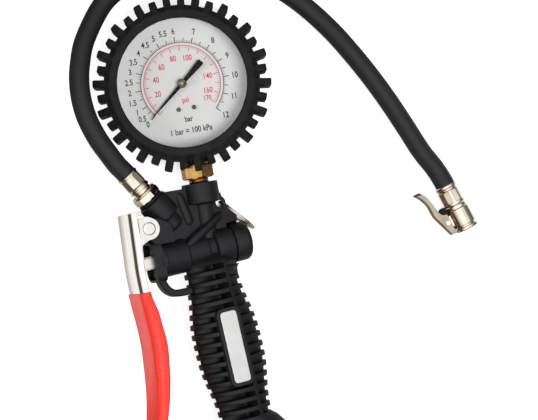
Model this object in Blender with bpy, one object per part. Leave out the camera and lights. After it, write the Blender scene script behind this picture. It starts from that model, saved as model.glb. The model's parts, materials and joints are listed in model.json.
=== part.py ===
"""Tyre inflator with a dial gauge, lying on its back with the dial up.

Metres, +Z up.  The origin is the centre of the flat back of the rubber gauge boot, +Y runs up the stem
to the top of the dial, and +Z is square to the dial.  The body hangs below the gauge on its stem and is
turned about it, so the front of the body, where the trigger is, stands higher than its back.

Three frames carry the pieces: the world for the gauge, body_frame on the stem's axis for the gauge boss,
and grip_frame for the valve, the handle and the trigger, with +X along the valve to its rear cap.
"""
import math

import bmesh
import bpy
from mathutils import Matrix, Vector

# --- Driving dimensions, metres and degrees ------------------------------------------------------------
FIT = 0.0003                # gap left between two pieces that touch

# Gauge
GLASS_R = 0.0365            # clear radius inside the boot's lip
RIM = 0.0040                # from the clear glass to the case's outside
CASE_WALL = 0.0009
CASE_TOP = 0.0336           # height of the case's rim
BEZEL_T = 0.0008
LENS_T = 0.0017
LENS_LAP = 0.0016           # how far the lens reaches under the bezel
SPACER_WALL = 0.0012
DIAL_Z = 0.0242
DIAL_T = 0.0008
POINTER_Z = 0.0266
POINTER_T = 0.0006
POINTER_LENGTH = 0.0270
POINTER_TAIL = 0.0167
POINTER_REST = 220.0        # where the pointer stands at zero pressure
HUB_R = 0.0026
ARBOR_R = 0.0009
SCREW_X = 0.0044            # dial screws, from the dial's centre
SCREW_Y = -0.0143
SCREW_HEAD_R = 0.0013
SCREW_HEAD_T = 0.0008
SCREW_R = 0.0007

# Rubber boot
BOOT_WALL = 0.0034
BOOT_BACK = 0.0027
LIP_T = 0.0030
RIB_COUNT = 36              # long and short ribs take turns
RIB_LONG = 0.0063
RIB_SHORT = 0.0043
RIB_WIDTH = 0.0037
RIB_PHASE = -8.7

# Movement
MOVEMENT_W = 0.0110         # half width of the plates
MOVEMENT_TOP = 0.0090
BACK_PLATE_Z = 0.0096
PLATE_T = 0.0012
PLATE_GAP = 0.0088          # between the two plates
PILLAR_R = 0.0014
PINION_R = 0.0015           # pitch radius
SECTOR_R = 0.0135
GEAR_T = 0.0024
SECTOR_SWEEP = 38.0
TAIL_R = 0.0078
TAIL_ANGLE = -16.0
LINK_T = 0.0010
TUBE_PATH_R = 0.0270
TUBE_W = 0.0030
TUBE_H = 0.0060
TUBE_END = -12.0            # angle of the tube's closed tip

# Stem
STEM_Z = 0.0194
STEM_R = 0.0042             # neck through the case
HEX_GAP = 0.0020            # from the boot's wall to the hexagon
HEX_R = 0.0094
HEX_LENGTH = 0.0084
THREAD_R = 0.0054
THREAD_SHOWS = 0.0024       # thread in sight between hexagon and boss
THREAD_LENGTH = 0.0120
STEM_BORE_R = 0.0014
BLOCK_W = 0.0080            # half width of the block inside the case
BLOCK_TOP = -0.0200
BLOCK_LOW = 0.0080
BLOCK_HIGH = 0.0210

# Body: gauge boss
BODY_TURN = 20.0            # body about the stem
BOSS_R = 0.0104
BOSS_HEIGHT = 0.0115
NECK_R = 0.0056
SEAL_T = 0.0012

# Body: valve, on the grip frame's X axis
GRIP_X = -0.0030
GRIP_DROP = 0.0381          # from the top of the boss to the valve's axis
GRIP_LEAN = 3.4
HOOD_X = -0.0342
HOOD_HALF_H = 0.0116
HOOD_HALF_W = 0.0097
HOOD_END = -0.0286
BARREL_R = 0.0104
BARREL_END = -0.0126
WAIST_R = 0.0088
WAIST_END = 0.0003
REAR_R = 0.0103
REAR_END = 0.0155
CAP_R = 0.0112
CAP_END = 0.0261
CAP_ROUND = 0.0025
POCKET = 0.0028             # depth of the pocket in the hood
POCKET_WALL = 0.0016
GLAND_BORE_R = 0.0066
GLAND_END = -0.0195
SEAT_X = -0.0120
SEAT_T = 0.0030
SEAT_R = 0.0067
SEAT_BORE_R = 0.0026
CHAMBER_R = 0.0071
SPIGOT_R = 0.0083
SPIGOT_END = 0.0065
HEAD_R = 0.0044
HEAD_DOME = 0.0080
HEAD_END = -0.0325
PLUNGER_R = 0.0020
PLUNGER_END = -0.0128
POPPET_R = 0.0048
POPPET_T = 0.0042
POPPET_STEM_R = 0.0013
SPRING_R = 0.0040
SPRING_WIRE = 0.0007
SPRING_TURNS = 5

# Body: handle
HANDLE_X = 0.0006           # middle of the handle at its swell
HANDLE_LEAN = 0.017         # sideways run of that middle for each unit down
WAIST_HALF_W = 0.0155
WAIST_HALF_T = 0.0126
SWELL_W = 0.0046
SWELL_T = 0.0019
SWELL_Y = -0.0560
SWELL_REACH = 0.0260
FIN_START = -0.0088
FIN_PITCH = 0.00575
FIN_SLOT = 0.0029
FIN_COUNT = 16
FIN_DEPTH = 0.0020
FIN_DEPTH_SIDE = 0.0011
SPINE_X = 0.0051            # middle of the spine, from the handle's middle
SPINE_W = 0.0030
FOOT_L = 0.0225
FOOT_REACH = 0.0385         # how far the butt's toe stands behind the handle's axis
FOOT_HALF_T = 0.0110
AIRWAY_R = 0.0030

# Name plate and its frame
NAME_PLATE_X = -0.0009
NAME_PLATE_Y = -0.0566
NAME_PLATE_W = 0.0098
NAME_PLATE_L = 0.0408
NAME_PLATE_T = 0.0007
NAME_PLATE_ROUND = 0.0022
NAME_FRAME = 0.0021
NAME_FRAME_TOP = 0.0153

# Inlet
INLET_X = 0.0016
BUSH_R = 0.0085
BUSH_LENGTH = 0.0110
INLET_THREAD_R = 0.0058
INLET_HEX_R = 0.0081
INLET_HEX_T = 0.0060
INLET_PLUG_L = 0.0220
INLET_PLUG_R = 0.0052
INLET_BORE_R = 0.0022

# Hose port
PORT_X = -0.0252
PORT_Y = 0.0339
PORT_ANGLE = 121.7
PORT_R = 0.0090
PORT_LENGTH = 0.0190
PORT_THREAD_R = 0.0043
PORT_THREAD_L = 0.0110
HOSE_HEX_R = 0.0082
HOSE_HEX_T = 0.0052
COLLAR_R = 0.0056
COLLAR_T = 0.0018
BARB_R = 0.0036
TAIL_BORE_R = 0.0016
FERRULE_R = 0.0062
FERRULE_L = 0.0116
HOSE_R = 0.00575

# Trigger
PIN_X = -0.0340
PIN_Y = 0.0192
PIN_R = 0.0026
PIN_HEAD_R = 0.0034
PIN_HEAD_T = 0.0008
LEVER_HALF_W = 0.0115
LEVER_T = 0.0014
EAR_R = 0.0059
EYE_CLEAR = 0.00015
SLEEVE_T = 0.0006
SLEEVE_GAP = 0.0002
TAB_HALF_W = 0.0100         # tab folded over from the top of the web
TAB_END = -0.0352
SLEEVE_Y = -0.0150
LUG_HALF_W = 0.0097

# Loop under the valve
LOOP_HALF_W = 0.0045

# Hanging ring
RING_R = 0.0123
RING_WIRE = 0.0007
EYE_X = 0.0136
EYE_Y = 0.0244
EYE_R = 0.0023
EYE_RIM = 0.0014
EYE_LOW = 0.0002
EYE_T = 0.0030
RING_ANGLE = -48.0
RING_TILT = 14.0

# Chuck
CHUCK_AT = (0.1402, -0.0826)
CHUCK_HEADING = -72.2
CHUCK_Z = 0.0070
CHUCK_FERRULE_L = 0.0120
CHUCK_R = 0.0066
CHUCK_LENGTH = 0.0156
CHUCK_MOUTH_R = 0.0044
CHUCK_MOUTH_L = 0.0090
CHUCK_LUG_HALF_W = 0.0030
CHUCK_PIN_S = 0.0195        # along the chuck from the ferrule's start
CHUCK_PIN_OUT = 0.0089      # out from its axis
CHUCK_PIN_R = 0.0010
CLIP_HALF_W = 0.0044
CLIP_T = 0.0009

# Sizes that follow
CASE_R = GLASS_R + RIM
BOOT_DEPTH = CASE_TOP + FIT + BEZEL_T + FIT + LIP_T
HEX_TOP = -(CASE_R + FIT + BOOT_WALL + HEX_GAP)
THREAD_END = HEX_TOP - HEX_LENGTH - THREAD_LENGTH
BOSS_TOP = HEX_TOP - HEX_LENGTH - THREAD_SHOWS
GRIP_Y = BOSS_TOP - GRIP_DROP
FOOT_Y = FIN_START - (FIN_COUNT - 1) * FIN_PITCH - FIN_SLOT - 0.0005
FOOT_END = FOOT_Y - FOOT_L

# Steps round turned pieces
FINE, MEDIUM, COARSE = 32, 20, 16

# Hose route: hand-chosen points from the port's ferrule, round the gauge and over to the chuck on the table
HOSE_ROUTE = [(-0.0436, -0.0400, 0.0354), (-0.0478, -0.0320, 0.0370), (-0.0520, -0.0232, 0.0381),
              (-0.0556, -0.0120, 0.0384), (-0.0571, -0.0017, 0.0376), (-0.0569, 0.0090, 0.0356),
              (-0.0549, 0.0197, 0.0326), (-0.0500, 0.0334, 0.0276), (-0.0379, 0.0514, 0.0190),
              (-0.0250, 0.0612, 0.0152), (-0.0090, 0.0682, 0.0118), (0.0060, 0.0703, 0.0094),
              (0.0212, 0.0687, 0.0076), (0.0370, 0.0638, 0.0065), (0.0508, 0.0560, 0.0060),
              (0.0655, 0.0451, 0.0059), (0.0780, 0.0326, 0.0059), (0.0900, 0.0173, 0.0059),
              (0.0997, 0.0020, 0.0059), (0.1083, -0.0133, 0.0059), (0.1162, -0.0292, 0.0059),
              (0.1232, -0.0450, 0.0060), (0.1298, -0.0604, 0.0062), (0.1357, -0.0712, 0.0066)]


# --- Tools ---------------------------------------------------------------------------------------------
def clear_scene():
    """Remove what the scene starts with."""
    for obj in list(bpy.data.objects):
        bpy.data.objects.remove(obj, do_unlink=True)


def finish(name, colour, roughness, metallic=0.0, alpha=1.0):
    """A Principled material from a linear colour."""
    material = bpy.data.materials.new(name)
    material.use_nodes = True
    shader = material.node_tree.nodes["Principled BSDF"]
    shader.inputs["Base Color"].default_value = (*colour, 1.0)
    shader.inputs["Roughness"].default_value = roughness
    shader.inputs["Metallic"].default_value = metallic
    shader.inputs["Alpha"].default_value = alpha
    return material


RUBBER = ((0.012, 0.012, 0.013), 0.62)
NYLON = ((0.016, 0.016, 0.018), 0.48)
NICKEL = ((0.72, 0.66, 0.58), 0.22, 1.0)
CHROME = ((0.86, 0.85, 0.83), 0.08, 1.0)
BRASS = ((0.72, 0.45, 0.13), 0.30, 1.0)
STEEL = ((0.45, 0.45, 0.46), 0.35, 1.0)
RED_PVC = ((0.72, 0.035, 0.02), 0.35)
WHITE = ((0.72, 0.73, 0.74), 0.40)
BLACK = ((0.010, 0.010, 0.010), 0.40)
SILVER = ((0.55, 0.56, 0.57), 0.32, 0.9)
GLASS = ((0.9, 0.93, 0.95), 0.05, 0.0, 0.25)


def frame_at(name, parent, place):
    """An empty that pieces hang from."""
    empty = bpy.data.objects.new(name, None)
    bpy.context.scene.collection.objects.link(empty)
    empty.parent = parent
    empty.matrix_basis = place
    return empty


def shifted(x, y, z):
    return Matrix.Translation((x, y, z))


def aimed(at, axis):
    """Place with its origin at a point and local +Z along an axis."""
    return Matrix.Translation(at) @ Vector(axis).to_track_quat("Z", "Y").to_matrix().to_4x4()


def bridge(bm, low, high):
    """Faces between two rings; a ring of one vertex is a pole."""
    count = max(len(low), len(high))
    for i in range(count):
        j = (i + 1) % count
        corners = [low[i % len(low)], low[j % len(low)], high[j % len(high)], high[i % len(high)]]
        corners = list(dict.fromkeys(corners))
        if len(corners) > 2:
            bm.faces.new(corners)


def turned(profile, steps, start=0.0):
    """Solid of revolution about local Z from (radius, height) points, axis to axis or a closed loop."""
    bm = bmesh.new()
    angles = [start + 2 * math.pi * i / steps for i in range(steps)]
    rings = []
    for radius, height in profile:
        if radius < 1e-9:
            rings.append([bm.verts.new((0, 0, height))])
        else:
            rings.append([bm.verts.new((radius * math.cos(a), radius * math.sin(a),
                                        height)) for a in angles])
    for low, high in zip(rings, rings[1:]):
        bridge(bm, low, high)
    if len(rings[0]) > 1:
        bridge(bm, rings[-1], rings[0])
    return bm


def loft(rings):
    """Solid through rings of equally many points, capped at both ends."""
    bm = bmesh.new()
    loops = [[bm.verts.new(point) for point in ring] for ring in rings]
    for low, high in zip(loops, loops[1:]):
        bridge(bm, low, high)
    bm.faces.new(loops[0])
    bm.faces.new(list(reversed(loops[-1])))
    return bm


def prism(outline, low, high):
    """An outline in local XY, extruded from one height to another."""
    return loft([[(x, y, low) for x, y in outline], [(x, y, high) for x, y in outline]])


def arc(x, y, radius, start, end, steps):
    """Points on an arc, both ends included; angles in degrees."""
    angles = [math.radians(start + (end - start) * i / steps) for i in range(steps + 1)]
    return [(x + radius * math.cos(a), y + radius * math.sin(a)) for a in angles]


def rounded(x, y, half_w, half_h, radius, steps=3):
    """Outline of a rectangle with round corners."""
    corners = ((1, 1, 0), (-1, 1, 90), (-1, -1, 180), (1, -1, 270))
    outline = []
    for sx, sy, start in corners:
        centre = (x + sx * (half_w - radius), y + sy * (half_h - radius))
        outline += arc(*centre, radius, start, start + 90, steps)
    return outline


def add(name, bm, home, place=Matrix(), look=None, sharp=35.0):
    """Put a mesh in the scene; a piece without a look is a tool for a Boolean."""
    bmesh.ops.recalc_face_normals(bm, faces=bm.faces)
    mesh = bpy.data.meshes.new(name)
    bm.to_mesh(mesh)
    bm.free()
    obj = bpy.data.objects.new(name, mesh)
    bpy.context.scene.collection.objects.link(obj)
    obj.parent = home
    obj.matrix_basis = place
    if look is None:
        obj.hide_render = True
        obj.display_type = "WIRE"
    else:
        mesh.materials.append(finish(name, *look))
        mesh.shade_smooth()
        mesh.set_sharp_from_angle(angle=math.radians(sharp))
    return obj


def combine(target, operation, tools):
    """Boolean modifiers that add tools to a piece or cut them from it."""
    for tool in tools:
        modifier = target.modifiers.new(tool.name, "BOOLEAN")
        modifier.operation = operation
        modifier.solver = "EXACT"
        modifier.object = tool


def smooth_route(points, spacing):
    """Points about a spacing apart on a Catmull-Rom curve through a route."""
    knots = [Vector(p) for p in points]
    knots = [2 * knots[0] - knots[1]] + knots + [2 * knots[-1] - knots[-2]]
    dense = []
    for p0, p1, p2, p3 in zip(knots, knots[1:], knots[2:], knots[3:]):
        for i in range(12):
            t = i / 12
            dense.append(0.5 * (2 * p1 + (p2 - p0) * t + (2 * p0 - 5 * p1 + 4 * p2 - p3) * t ** 2
                                + (3 * p1 - p0 - 3 * p2 + p3) * t ** 3))
    dense.append(knots[-2])
    length = sum((b - a).length for a, b in zip(dense, dense[1:]))
    count = max(2, round(length / spacing))
    picked, walked, step = [dense[0]], 0.0, length / count
    for a, b in zip(dense, dense[1:]):
        while len(picked) < count and walked + (b - a).length >= step * len(picked):
            picked.append(a.lerp(b, (step * len(picked) - walked) / (b - a).length))
        walked += (b - a).length
    return picked + [dense[-1]]


def tube(name, points, radius, look, home=None, resolution=2):
    """A round tube along points, as a curve with a bevel and filled ends."""
    curve = bpy.data.curves.new(name, "CURVE")
    curve.dimensions = "3D"
    curve.bevel_depth = radius
    curve.bevel_resolution = resolution
    curve.use_fill_caps = True
    spline = curve.splines.new("POLY")
    spline.points.add(len(points) - 1)
    for point, place in zip(spline.points, points):
        point.co = (*place, 1.0)
    curve.materials.append(finish(name, *look))
    obj = bpy.data.objects.new(name, curve)
    bpy.context.scene.collection.objects.link(obj)
    obj.parent = home
    return obj


# --- Gauge ---------------------------------------------------------------------------------------------
def gauge_boot():
    """Rubber boot: a cup with a lip over the bezel and ribs that stand out all round."""
    inner = CASE_R + FIT
    outer = inner + BOOT_WALL
    lip_low = BOOT_DEPTH - LIP_T
    inside = [(0, BOOT_BACK), (inner, BOOT_BACK), (inner, lip_low - 0.0001), (GLASS_R, lip_low)]
    front = [(GLASS_R, BOOT_DEPTH - 0.0006), (GLASS_R + 0.0006, BOOT_DEPTH),
             (outer - 0.0030, BOOT_DEPTH - 0.0008)]
    plain = [(outer - 0.0008, BOOT_DEPTH - 0.0030), (outer, BOOT_DEPTH - 0.0060), (outer, 0.0030)]
    back = [(outer - 0.0018, 0), (0, 0)]

    def rib(reach):
        tip = outer + reach
        return [(outer - 0.0006, BOOT_DEPTH - 0.0024), (tip, BOOT_DEPTH - 0.0050), (tip, 0.0034)]

    pitch = 360.0 / RIB_COUNT
    half = math.degrees(RIB_WIDTH / 2 / outer)
    draft = 0.45
    sections = []
    for i in range(RIB_COUNT):
        middle = RIB_PHASE + i * pitch
        edge = rib(RIB_SHORT if i % 2 else RIB_LONG)
        sections += [(middle - half - draft, plain), (middle - half, edge), (middle + half, edge),
                     (middle + half + draft, plain)]
    bm = bmesh.new()
    columns = []
    poles = {height: bm.verts.new((0, 0, height)) for height in (BOOT_BACK, 0)}
    for angle, edge in sections:
        a = math.radians(angle)
        column = []
        for radius, height in inside + front + edge + back:
            if radius == 0:
                column.append(poles[height])
            else:
                column.append(bm.verts.new((radius * math.cos(a), radius * math.sin(a), height)))
        columns.append(column)
    for near, far in zip(columns, columns[1:] + columns[:1]):
        for k in range(len(near) - 1):
            corners = list(dict.fromkeys([near[k], far[k], far[k + 1], near[k + 1]]))
            bm.faces.new(corners)
    boot = add("gauge_boot", bm, None, look=RUBBER)
    reach = 0.0200
    notch = rounded(0, 0, HEX_R + 0.0008, HEX_R + 0.0008, 0.0020)
    combine(boot, "DIFFERENCE", [
        add("cut_boot_hex", prism(notch, 0, reach), None, aimed((0, HEX_TOP + 0.0012, STEM_Z), (0, -1, 0))),
        add("cut_boot_neck", turned([(0, 0), (STEM_R + 0.0024, 0), (STEM_R + 0.0024, reach), (0, reach)],
                                    COARSE),
            None, aimed((0, -CASE_R + 0.0040, STEM_Z), (0, -1, 0)))])


def gauge_case():
    """Steel cup that holds the movement, with a hole for the stem."""
    low = BOOT_BACK + FIT
    inner = CASE_R - CASE_WALL
    bend = 0.0012
    profile = [(0, low), (CASE_R - bend, low), (CASE_R, low + bend), (CASE_R, CASE_TOP), (inner, CASE_TOP),
               (inner, low + CASE_WALL + bend), (inner - bend, low + CASE_WALL), (0, low + CASE_WALL)]
    case = add("gauge_case", turned(profile, FINE), None, look=STEEL)
    hole = [(0, 0), (STEM_R + FIT, 0), (STEM_R + FIT, 0.0080), (0, 0.0080)]
    combine(case, "DIFFERENCE", [
        add("cut_case_stem", turned(hole, COARSE), None, aimed((0, -CASE_R + 0.0040, STEM_Z), (0, -1, 0)))])


def gauge_window():
    """Bezel, lens and the spacer ring between lens and dial."""
    rim = CASE_TOP + FIT
    inner = CASE_R - CASE_WALL - FIT
    lens_r = inner - BEZEL_T - FIT
    lens_top = rim - FIT
    skirt = lens_top - LENS_T
    bezel = [(lens_r - LENS_LAP, rim), (lens_r - LENS_LAP, rim + BEZEL_T), (CASE_R - 0.0002, rim + BEZEL_T),
             (CASE_R - 0.0002, rim), (inner,
                                      rim), (inner,
                                             skirt), (inner - BEZEL_T, skirt), (inner - BEZEL_T, rim)]
    add("gauge_bezel", turned(bezel, FINE), None, look=STEEL)
    lens = [(0, lens_top - LENS_T), (lens_r, lens_top - LENS_T), (lens_r, lens_top), (0, lens_top)]
    add("gauge_lens", turned(lens, FINE), None, look=GLASS)
    low = DIAL_Z + DIAL_T + FIT
    high = skirt - FIT
    spacer = [(inner - SPACER_WALL, low), (inner, low), (inner, high), (inner - SPACER_WALL, high)]
    add("lens_spacer", turned(spacer, FINE), None, look=WHITE)


def dial_plate():
    """Printed dial with holes for the arbor and its two screws."""
    radius = CASE_R - CASE_WALL - FIT
    top = DIAL_Z + DIAL_T
    dial = add("dial_plate", turned([(0, DIAL_Z), (radius, DIAL_Z), (radius, top), (0, top)], FINE), None,
               look=WHITE)
    holes = [(0, 0, ARBOR_R + FIT), (SCREW_X, SCREW_Y, SCREW_R + FIT), (-SCREW_X, SCREW_Y, SCREW_R + FIT)]
    combine(dial, "DIFFERENCE", [
        add(f"cut_dial_{i}", prism(arc(x, y, r, 0, 330, 11), DIAL_Z - 0.001, top + 0.001), None)
        for i, (x, y, r) in enumerate(holes)])


def dial_screws():
    """Two small screws that hold the dial to the front plate of the movement."""
    seat = DIAL_Z + DIAL_T + FIT
    plate = BACK_PLATE_Z + 2 * PLATE_T + PLATE_GAP
    profile = [(0, plate + FIT), (SCREW_R, plate + FIT), (SCREW_R, seat), (SCREW_HEAD_R, seat),
               (SCREW_HEAD_R * 0.8, seat + SCREW_HEAD_T), (0, seat + SCREW_HEAD_T)]
    for side, x in (("left", -SCREW_X), ("right", SCREW_X)):
        add(f"dial_screw_{side}", turned(profile, 12), None, shifted(x, SCREW_Y, 0), BRASS)


def pointer(axis):
    """Pointer with a broad tail, its brass hub and the arbor with the pinion, all on the dial's axis."""
    spin = Matrix.Rotation(math.radians(POINTER_REST), 4, "Z")
    eye = arc(0, 0, HUB_R, 40, 140, 4)
    outline = ([(POINTER_LENGTH, -0.0001), (POINTER_LENGTH, 0.0001),
                (HUB_R * math.cos(math.radians(30)), 0.0011)]
               + eye + [(-HUB_R * math.cos(math.radians(30)), 0.0011), (-POINTER_TAIL + 0.0008, 0.0019),
                        (-POINTER_TAIL, 0.0014), (-POINTER_TAIL, -0.0014), (-POINTER_TAIL + 0.0008, -0.0019),
                        (-HUB_R * math.cos(math.radians(30)), -0.0011)]
               + [(x, -y) for x, y in reversed(eye)] + [(HUB_R * math.cos(math.radians(30)), -0.0011)])
    blade = add("pointer", prism(outline, POINTER_Z, POINTER_Z + POINTER_T), axis, spin, BLACK)
    hole = prism(arc(0, 0, ARBOR_R + FIT, 0, 330, 11), POINTER_Z - 0.001, POINTER_Z + 0.002)
    combine(blade, "DIFFERENCE", [add("cut_pointer", hole, axis)])
    low = POINTER_Z + POINTER_T + FIT
    hub = [(ARBOR_R + FIT, low), (HUB_R, low), (HUB_R, low + 0.0010), (HUB_R - 0.0004, low + 0.0014),
           (ARBOR_R + FIT, low + 0.0014)]
    add("pointer_hub", turned(hub, COARSE), axis, look=BRASS)
    gear_low = BACK_PLATE_Z + PLATE_T + (PLATE_GAP - GEAR_T) / 2
    tooth = PINION_R * 0.22
    arbor = [(0, BACK_PLATE_Z - 0.0010), (ARBOR_R, BACK_PLATE_Z - 0.0010), (ARBOR_R, gear_low),
             (PINION_R - tooth, gear_low), (PINION_R - tooth,
                                            gear_low + GEAR_T), (ARBOR_R, gear_low + GEAR_T),
             (ARBOR_R, low + 0.0017), (0, low + 0.0017)]
    add("pinion_arbor", turned(arbor, 12), axis, look=STEEL)


def movement():
    """Back plate with its pillars, front plate, sector gear and link between the case's back and the dial."""
    bottom = BLOCK_TOP + FIT
    outline = rounded(0, (MOVEMENT_TOP + bottom) / 2, MOVEMENT_W, (MOVEMENT_TOP - bottom) / 2, 0.0020)
    back_top = BACK_PLATE_Z + PLATE_T
    front_low = back_top + PLATE_GAP
    back = add("movement_back_plate", prism(outline, BACK_PLATE_Z, back_top), None, look=BRASS)
    pillars = [(MOVEMENT_W - 0.0024, MOVEMENT_TOP - 0.0026), (-MOVEMENT_W + 0.0024, MOVEMENT_TOP - 0.0026),
               (-MOVEMENT_W + 0.0024, bottom + 0.0026)]
    posts = [add(f"post_{i}", prism(arc(x, y, PILLAR_R, 0, 315, 7), BACK_PLATE_Z + 0.0004,
                                    front_low - FIT), None)
             for i, (x, y) in enumerate(pillars)]
    combine(back, "UNION", posts)
    front = add("movement_front_plate", prism(outline, front_low, front_low + PLATE_T), None, look=BRASS)
    pivot_y = -(PINION_R + SECTOR_R)
    for plate, low in ((back, BACK_PLATE_Z), (front, front_low)):
        holes = [(0, 0, ARBOR_R + 0.0002), (0, pivot_y, ARBOR_R + 0.0002)]
        combine(plate, "DIFFERENCE", [
            add(f"cut_{plate.name}_{i}", prism(arc(x, y, r, 0, 330, 11), low - 0.001,
                                               low + PLATE_T + 0.001), None)
            for i, (x, y, r) in enumerate(holes)])


def sector_gear(axis):
    """Toothed sector on its own arbor; its tail is pulled by the link."""
    pitch = math.degrees(2 * math.pi * PINION_R / 10 / SECTOR_R)
    low = BACK_PLATE_Z + PLATE_T + (PLATE_GAP - GEAR_T) / 2
    tip, root = SECTOR_R - FIT, SECTOR_R - PINION_R * 0.45
    first = 90 + 4.0
    teeth = int(SECTOR_SWEEP / pitch)
    outline = []
    for i in range(teeth):
        a = first - i * pitch
        for angle, radius in ((a, root), (a - pitch * 0.2, tip), (a - pitch * 0.5, tip),
                              (a - pitch * 0.7, root)):
            outline.append((radius * math.cos(math.radians(angle)), radius * math.sin(math.radians(angle))))
    last = first - teeth * pitch
    web = root - 0.0022
    outline += [(web * math.cos(math.radians(last)), web * math.sin(math.radians(last)))]
    outline += arc(0, 0, 0.0022, 50, TAIL_ANGLE + 40, 2)
    tail = (TAIL_R * math.cos(math.radians(TAIL_ANGLE)), TAIL_R * math.sin(math.radians(TAIL_ANGLE)))
    outline += arc(*tail, 0.0014, 70, -160, 6)
    outline += arc(0, 0, 0.0022, TAIL_ANGLE - 50, -240, 6)
    outline += [(web * math.cos(math.radians(first)), web * math.sin(math.radians(first)))]
    gear = add("sector_gear", prism(outline, low, low + GEAR_T), axis, look=BRASS)
    shaft_top = BACK_PLATE_Z + 2 * PLATE_T + PLATE_GAP + 0.0008
    shaft = [(0, BACK_PLATE_Z - 0.0008), (ARBOR_R, BACK_PLATE_Z - 0.0008),
             (ARBOR_R, shaft_top), (0, shaft_top)]
    stud_top = low + GEAR_T + FIT + LINK_T + 0.0006
    stud = [(0, low + 0.0005), (0.0006, low + 0.0005), (0.0006, stud_top), (0, stud_top)]
    combine(gear, "UNION", [add("sector_shaft", turned(shaft, 12), axis),
                            add("sector_stud", turned(stud, 8), axis, shifted(*tail, 0))])
    return tail, low + GEAR_T + FIT


def link(axis, tail_world, low):
    """Flat link from the sector's tail to the tip of the tube; its place there is left open."""
    a = math.radians(TUBE_END)
    tip = (TUBE_PATH_R * math.cos(a) - tail_world[0], TUBE_PATH_R * math.sin(a) - tail_world[1])
    length = math.hypot(*tip)
    outline = arc(0, 0, 0.0013, 60, 300, 6) + arc(length, 0, 0.0013, -120, 120, 6)
    place = Matrix.Rotation(math.atan2(tip[1], tip[0]), 4, "Z")
    bar = add("tube_link", prism(outline, low, low + LINK_T), axis, place, STEEL)
    hole = prism(arc(0, 0, 0.0008, 0, 315, 7), low - 0.001, low + LINK_T + 0.001)
    combine(bar, "DIFFERENCE", [add("cut_link", hole, axis)])


def bourdon_tube(link_low):
    """Flattened tube bent into a C, from the stem's block to its closed tip."""
    start = -90 - math.degrees(math.asin((BLOCK_W + FIT) / (TUBE_PATH_R - TUBE_W / 2)))
    end = TUBE_END - 360
    low = link_low - FIT - TUBE_H
    rings = []
    steps = 22
    for i in range(steps + 1):
        a = math.radians(start + (end - start) * i / steps)
        section = []
        for u, w in arc(0, 0, 1.0, 0, 315, 7):
            radius = TUBE_PATH_R + u * TUBE_W / 2
            section.append((radius * math.cos(a), radius * math.sin(a), low + TUBE_H / 2 * (1 + w)))
        rings.append(section)
    add("bourdon_tube", loft(rings), None, look=BRASS)


def gauge_socket():
    """Brass stem: block inside the case, neck, hexagon and the thread that screws into the body."""
    neck_top = BLOCK_TOP - 0.0060
    place = aimed((0, 0, STEM_Z), (0, -1, 0))
    stem = [(0, -neck_top), (STEM_R, -neck_top), (STEM_R, -HEX_TOP + 0.0010), (THREAD_R, -HEX_TOP + 0.0020),
            (THREAD_R, -THREAD_END - 0.0008), (THREAD_R - 0.0008, -THREAD_END), (0, -THREAD_END)]
    socket = add("gauge_socket", turned(stem, MEDIUM), None, place, BRASS)
    hexagon = turned([(0, -HEX_TOP), (HEX_R - 0.0008, -HEX_TOP), (HEX_R, -HEX_TOP + 0.0006),
                      (HEX_R, -HEX_TOP + HEX_LENGTH - 0.0006), (HEX_R - 0.0008, -HEX_TOP + HEX_LENGTH),
                      (0, -HEX_TOP + HEX_LENGTH)], 6, math.radians(15))
    block = prism(rounded(0, (BLOCK_TOP + neck_top - 0.0060) / 2, BLOCK_W,
                          (BLOCK_TOP - neck_top + 0.0060) / 2, 0.001, 1),
                  BLOCK_LOW, BLOCK_HIGH)
    combine(socket, "UNION", [add("socket_hexagon", hexagon, None, place),
                              add("socket_block", block, None)])
    bore = turned([(0, -BLOCK_TOP + 0.0040), (STEM_BORE_R, -BLOCK_TOP + 0.0040),
                   (STEM_BORE_R, -THREAD_END + 0.001),
                   (0, -THREAD_END + 0.001)], 10)
    combine(socket, "DIFFERENCE", [add("cut_socket", bore, None, place)])


# --- Body ----------------------------------------------------------------------------------------------
def port_place(along):
    """Place on the hose port's axis, a distance out from its face, with +Z pointing out."""
    a = math.radians(PORT_ANGLE)
    direction = Vector((math.cos(a), math.sin(a), 0))
    return aimed(Vector((PORT_X, PORT_Y, 0)) + direction * along, direction)


def handle_size(y):
    """Half width and half thickness of the handle at a place along it."""
    bump = math.exp(-abs((y - SWELL_Y) / SWELL_REACH) ** 3)
    return WAIST_HALF_W + SWELL_W * bump, WAIST_HALF_T + SWELL_T * bump


def handle_middle(y):
    """Where the middle of the handle is, sideways, at a place along it."""
    return HANDLE_X + HANDLE_LEAN * (SWELL_Y - y)


def handle_ring(y, middle, half_w, half_t, depth, spine_at):
    """One outline round the handle; a slot leaves the spine standing front and back."""
    draft = 0.00015
    edges = [spine_at + SPINE_W / 2 + draft, spine_at + SPINE_W / 2, spine_at - SPINE_W / 2]
    spine = [math.degrees(math.acos((x - middle) / half_w)) for x in edges + [edges[2] - draft]]
    front = [0, 24, 48] + spine + [100, 127, 154]
    full = [False] * 4 + [True, True] + [False] * 4
    angles = front + [180] + [360 - a for a in reversed(front[1:])]
    full = full + [False] + list(reversed(full[1:]))
    points = []
    for angle, stands in zip(angles, full):
        c, s = math.cos(math.radians(angle)), math.sin(math.radians(angle))
        cut = 0.0 if stands or not depth else FIN_DEPTH_SIDE + depth * s * s
        points.append((middle + (half_w - cut) * c, y, (half_t - cut) * s))
    return points


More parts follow.
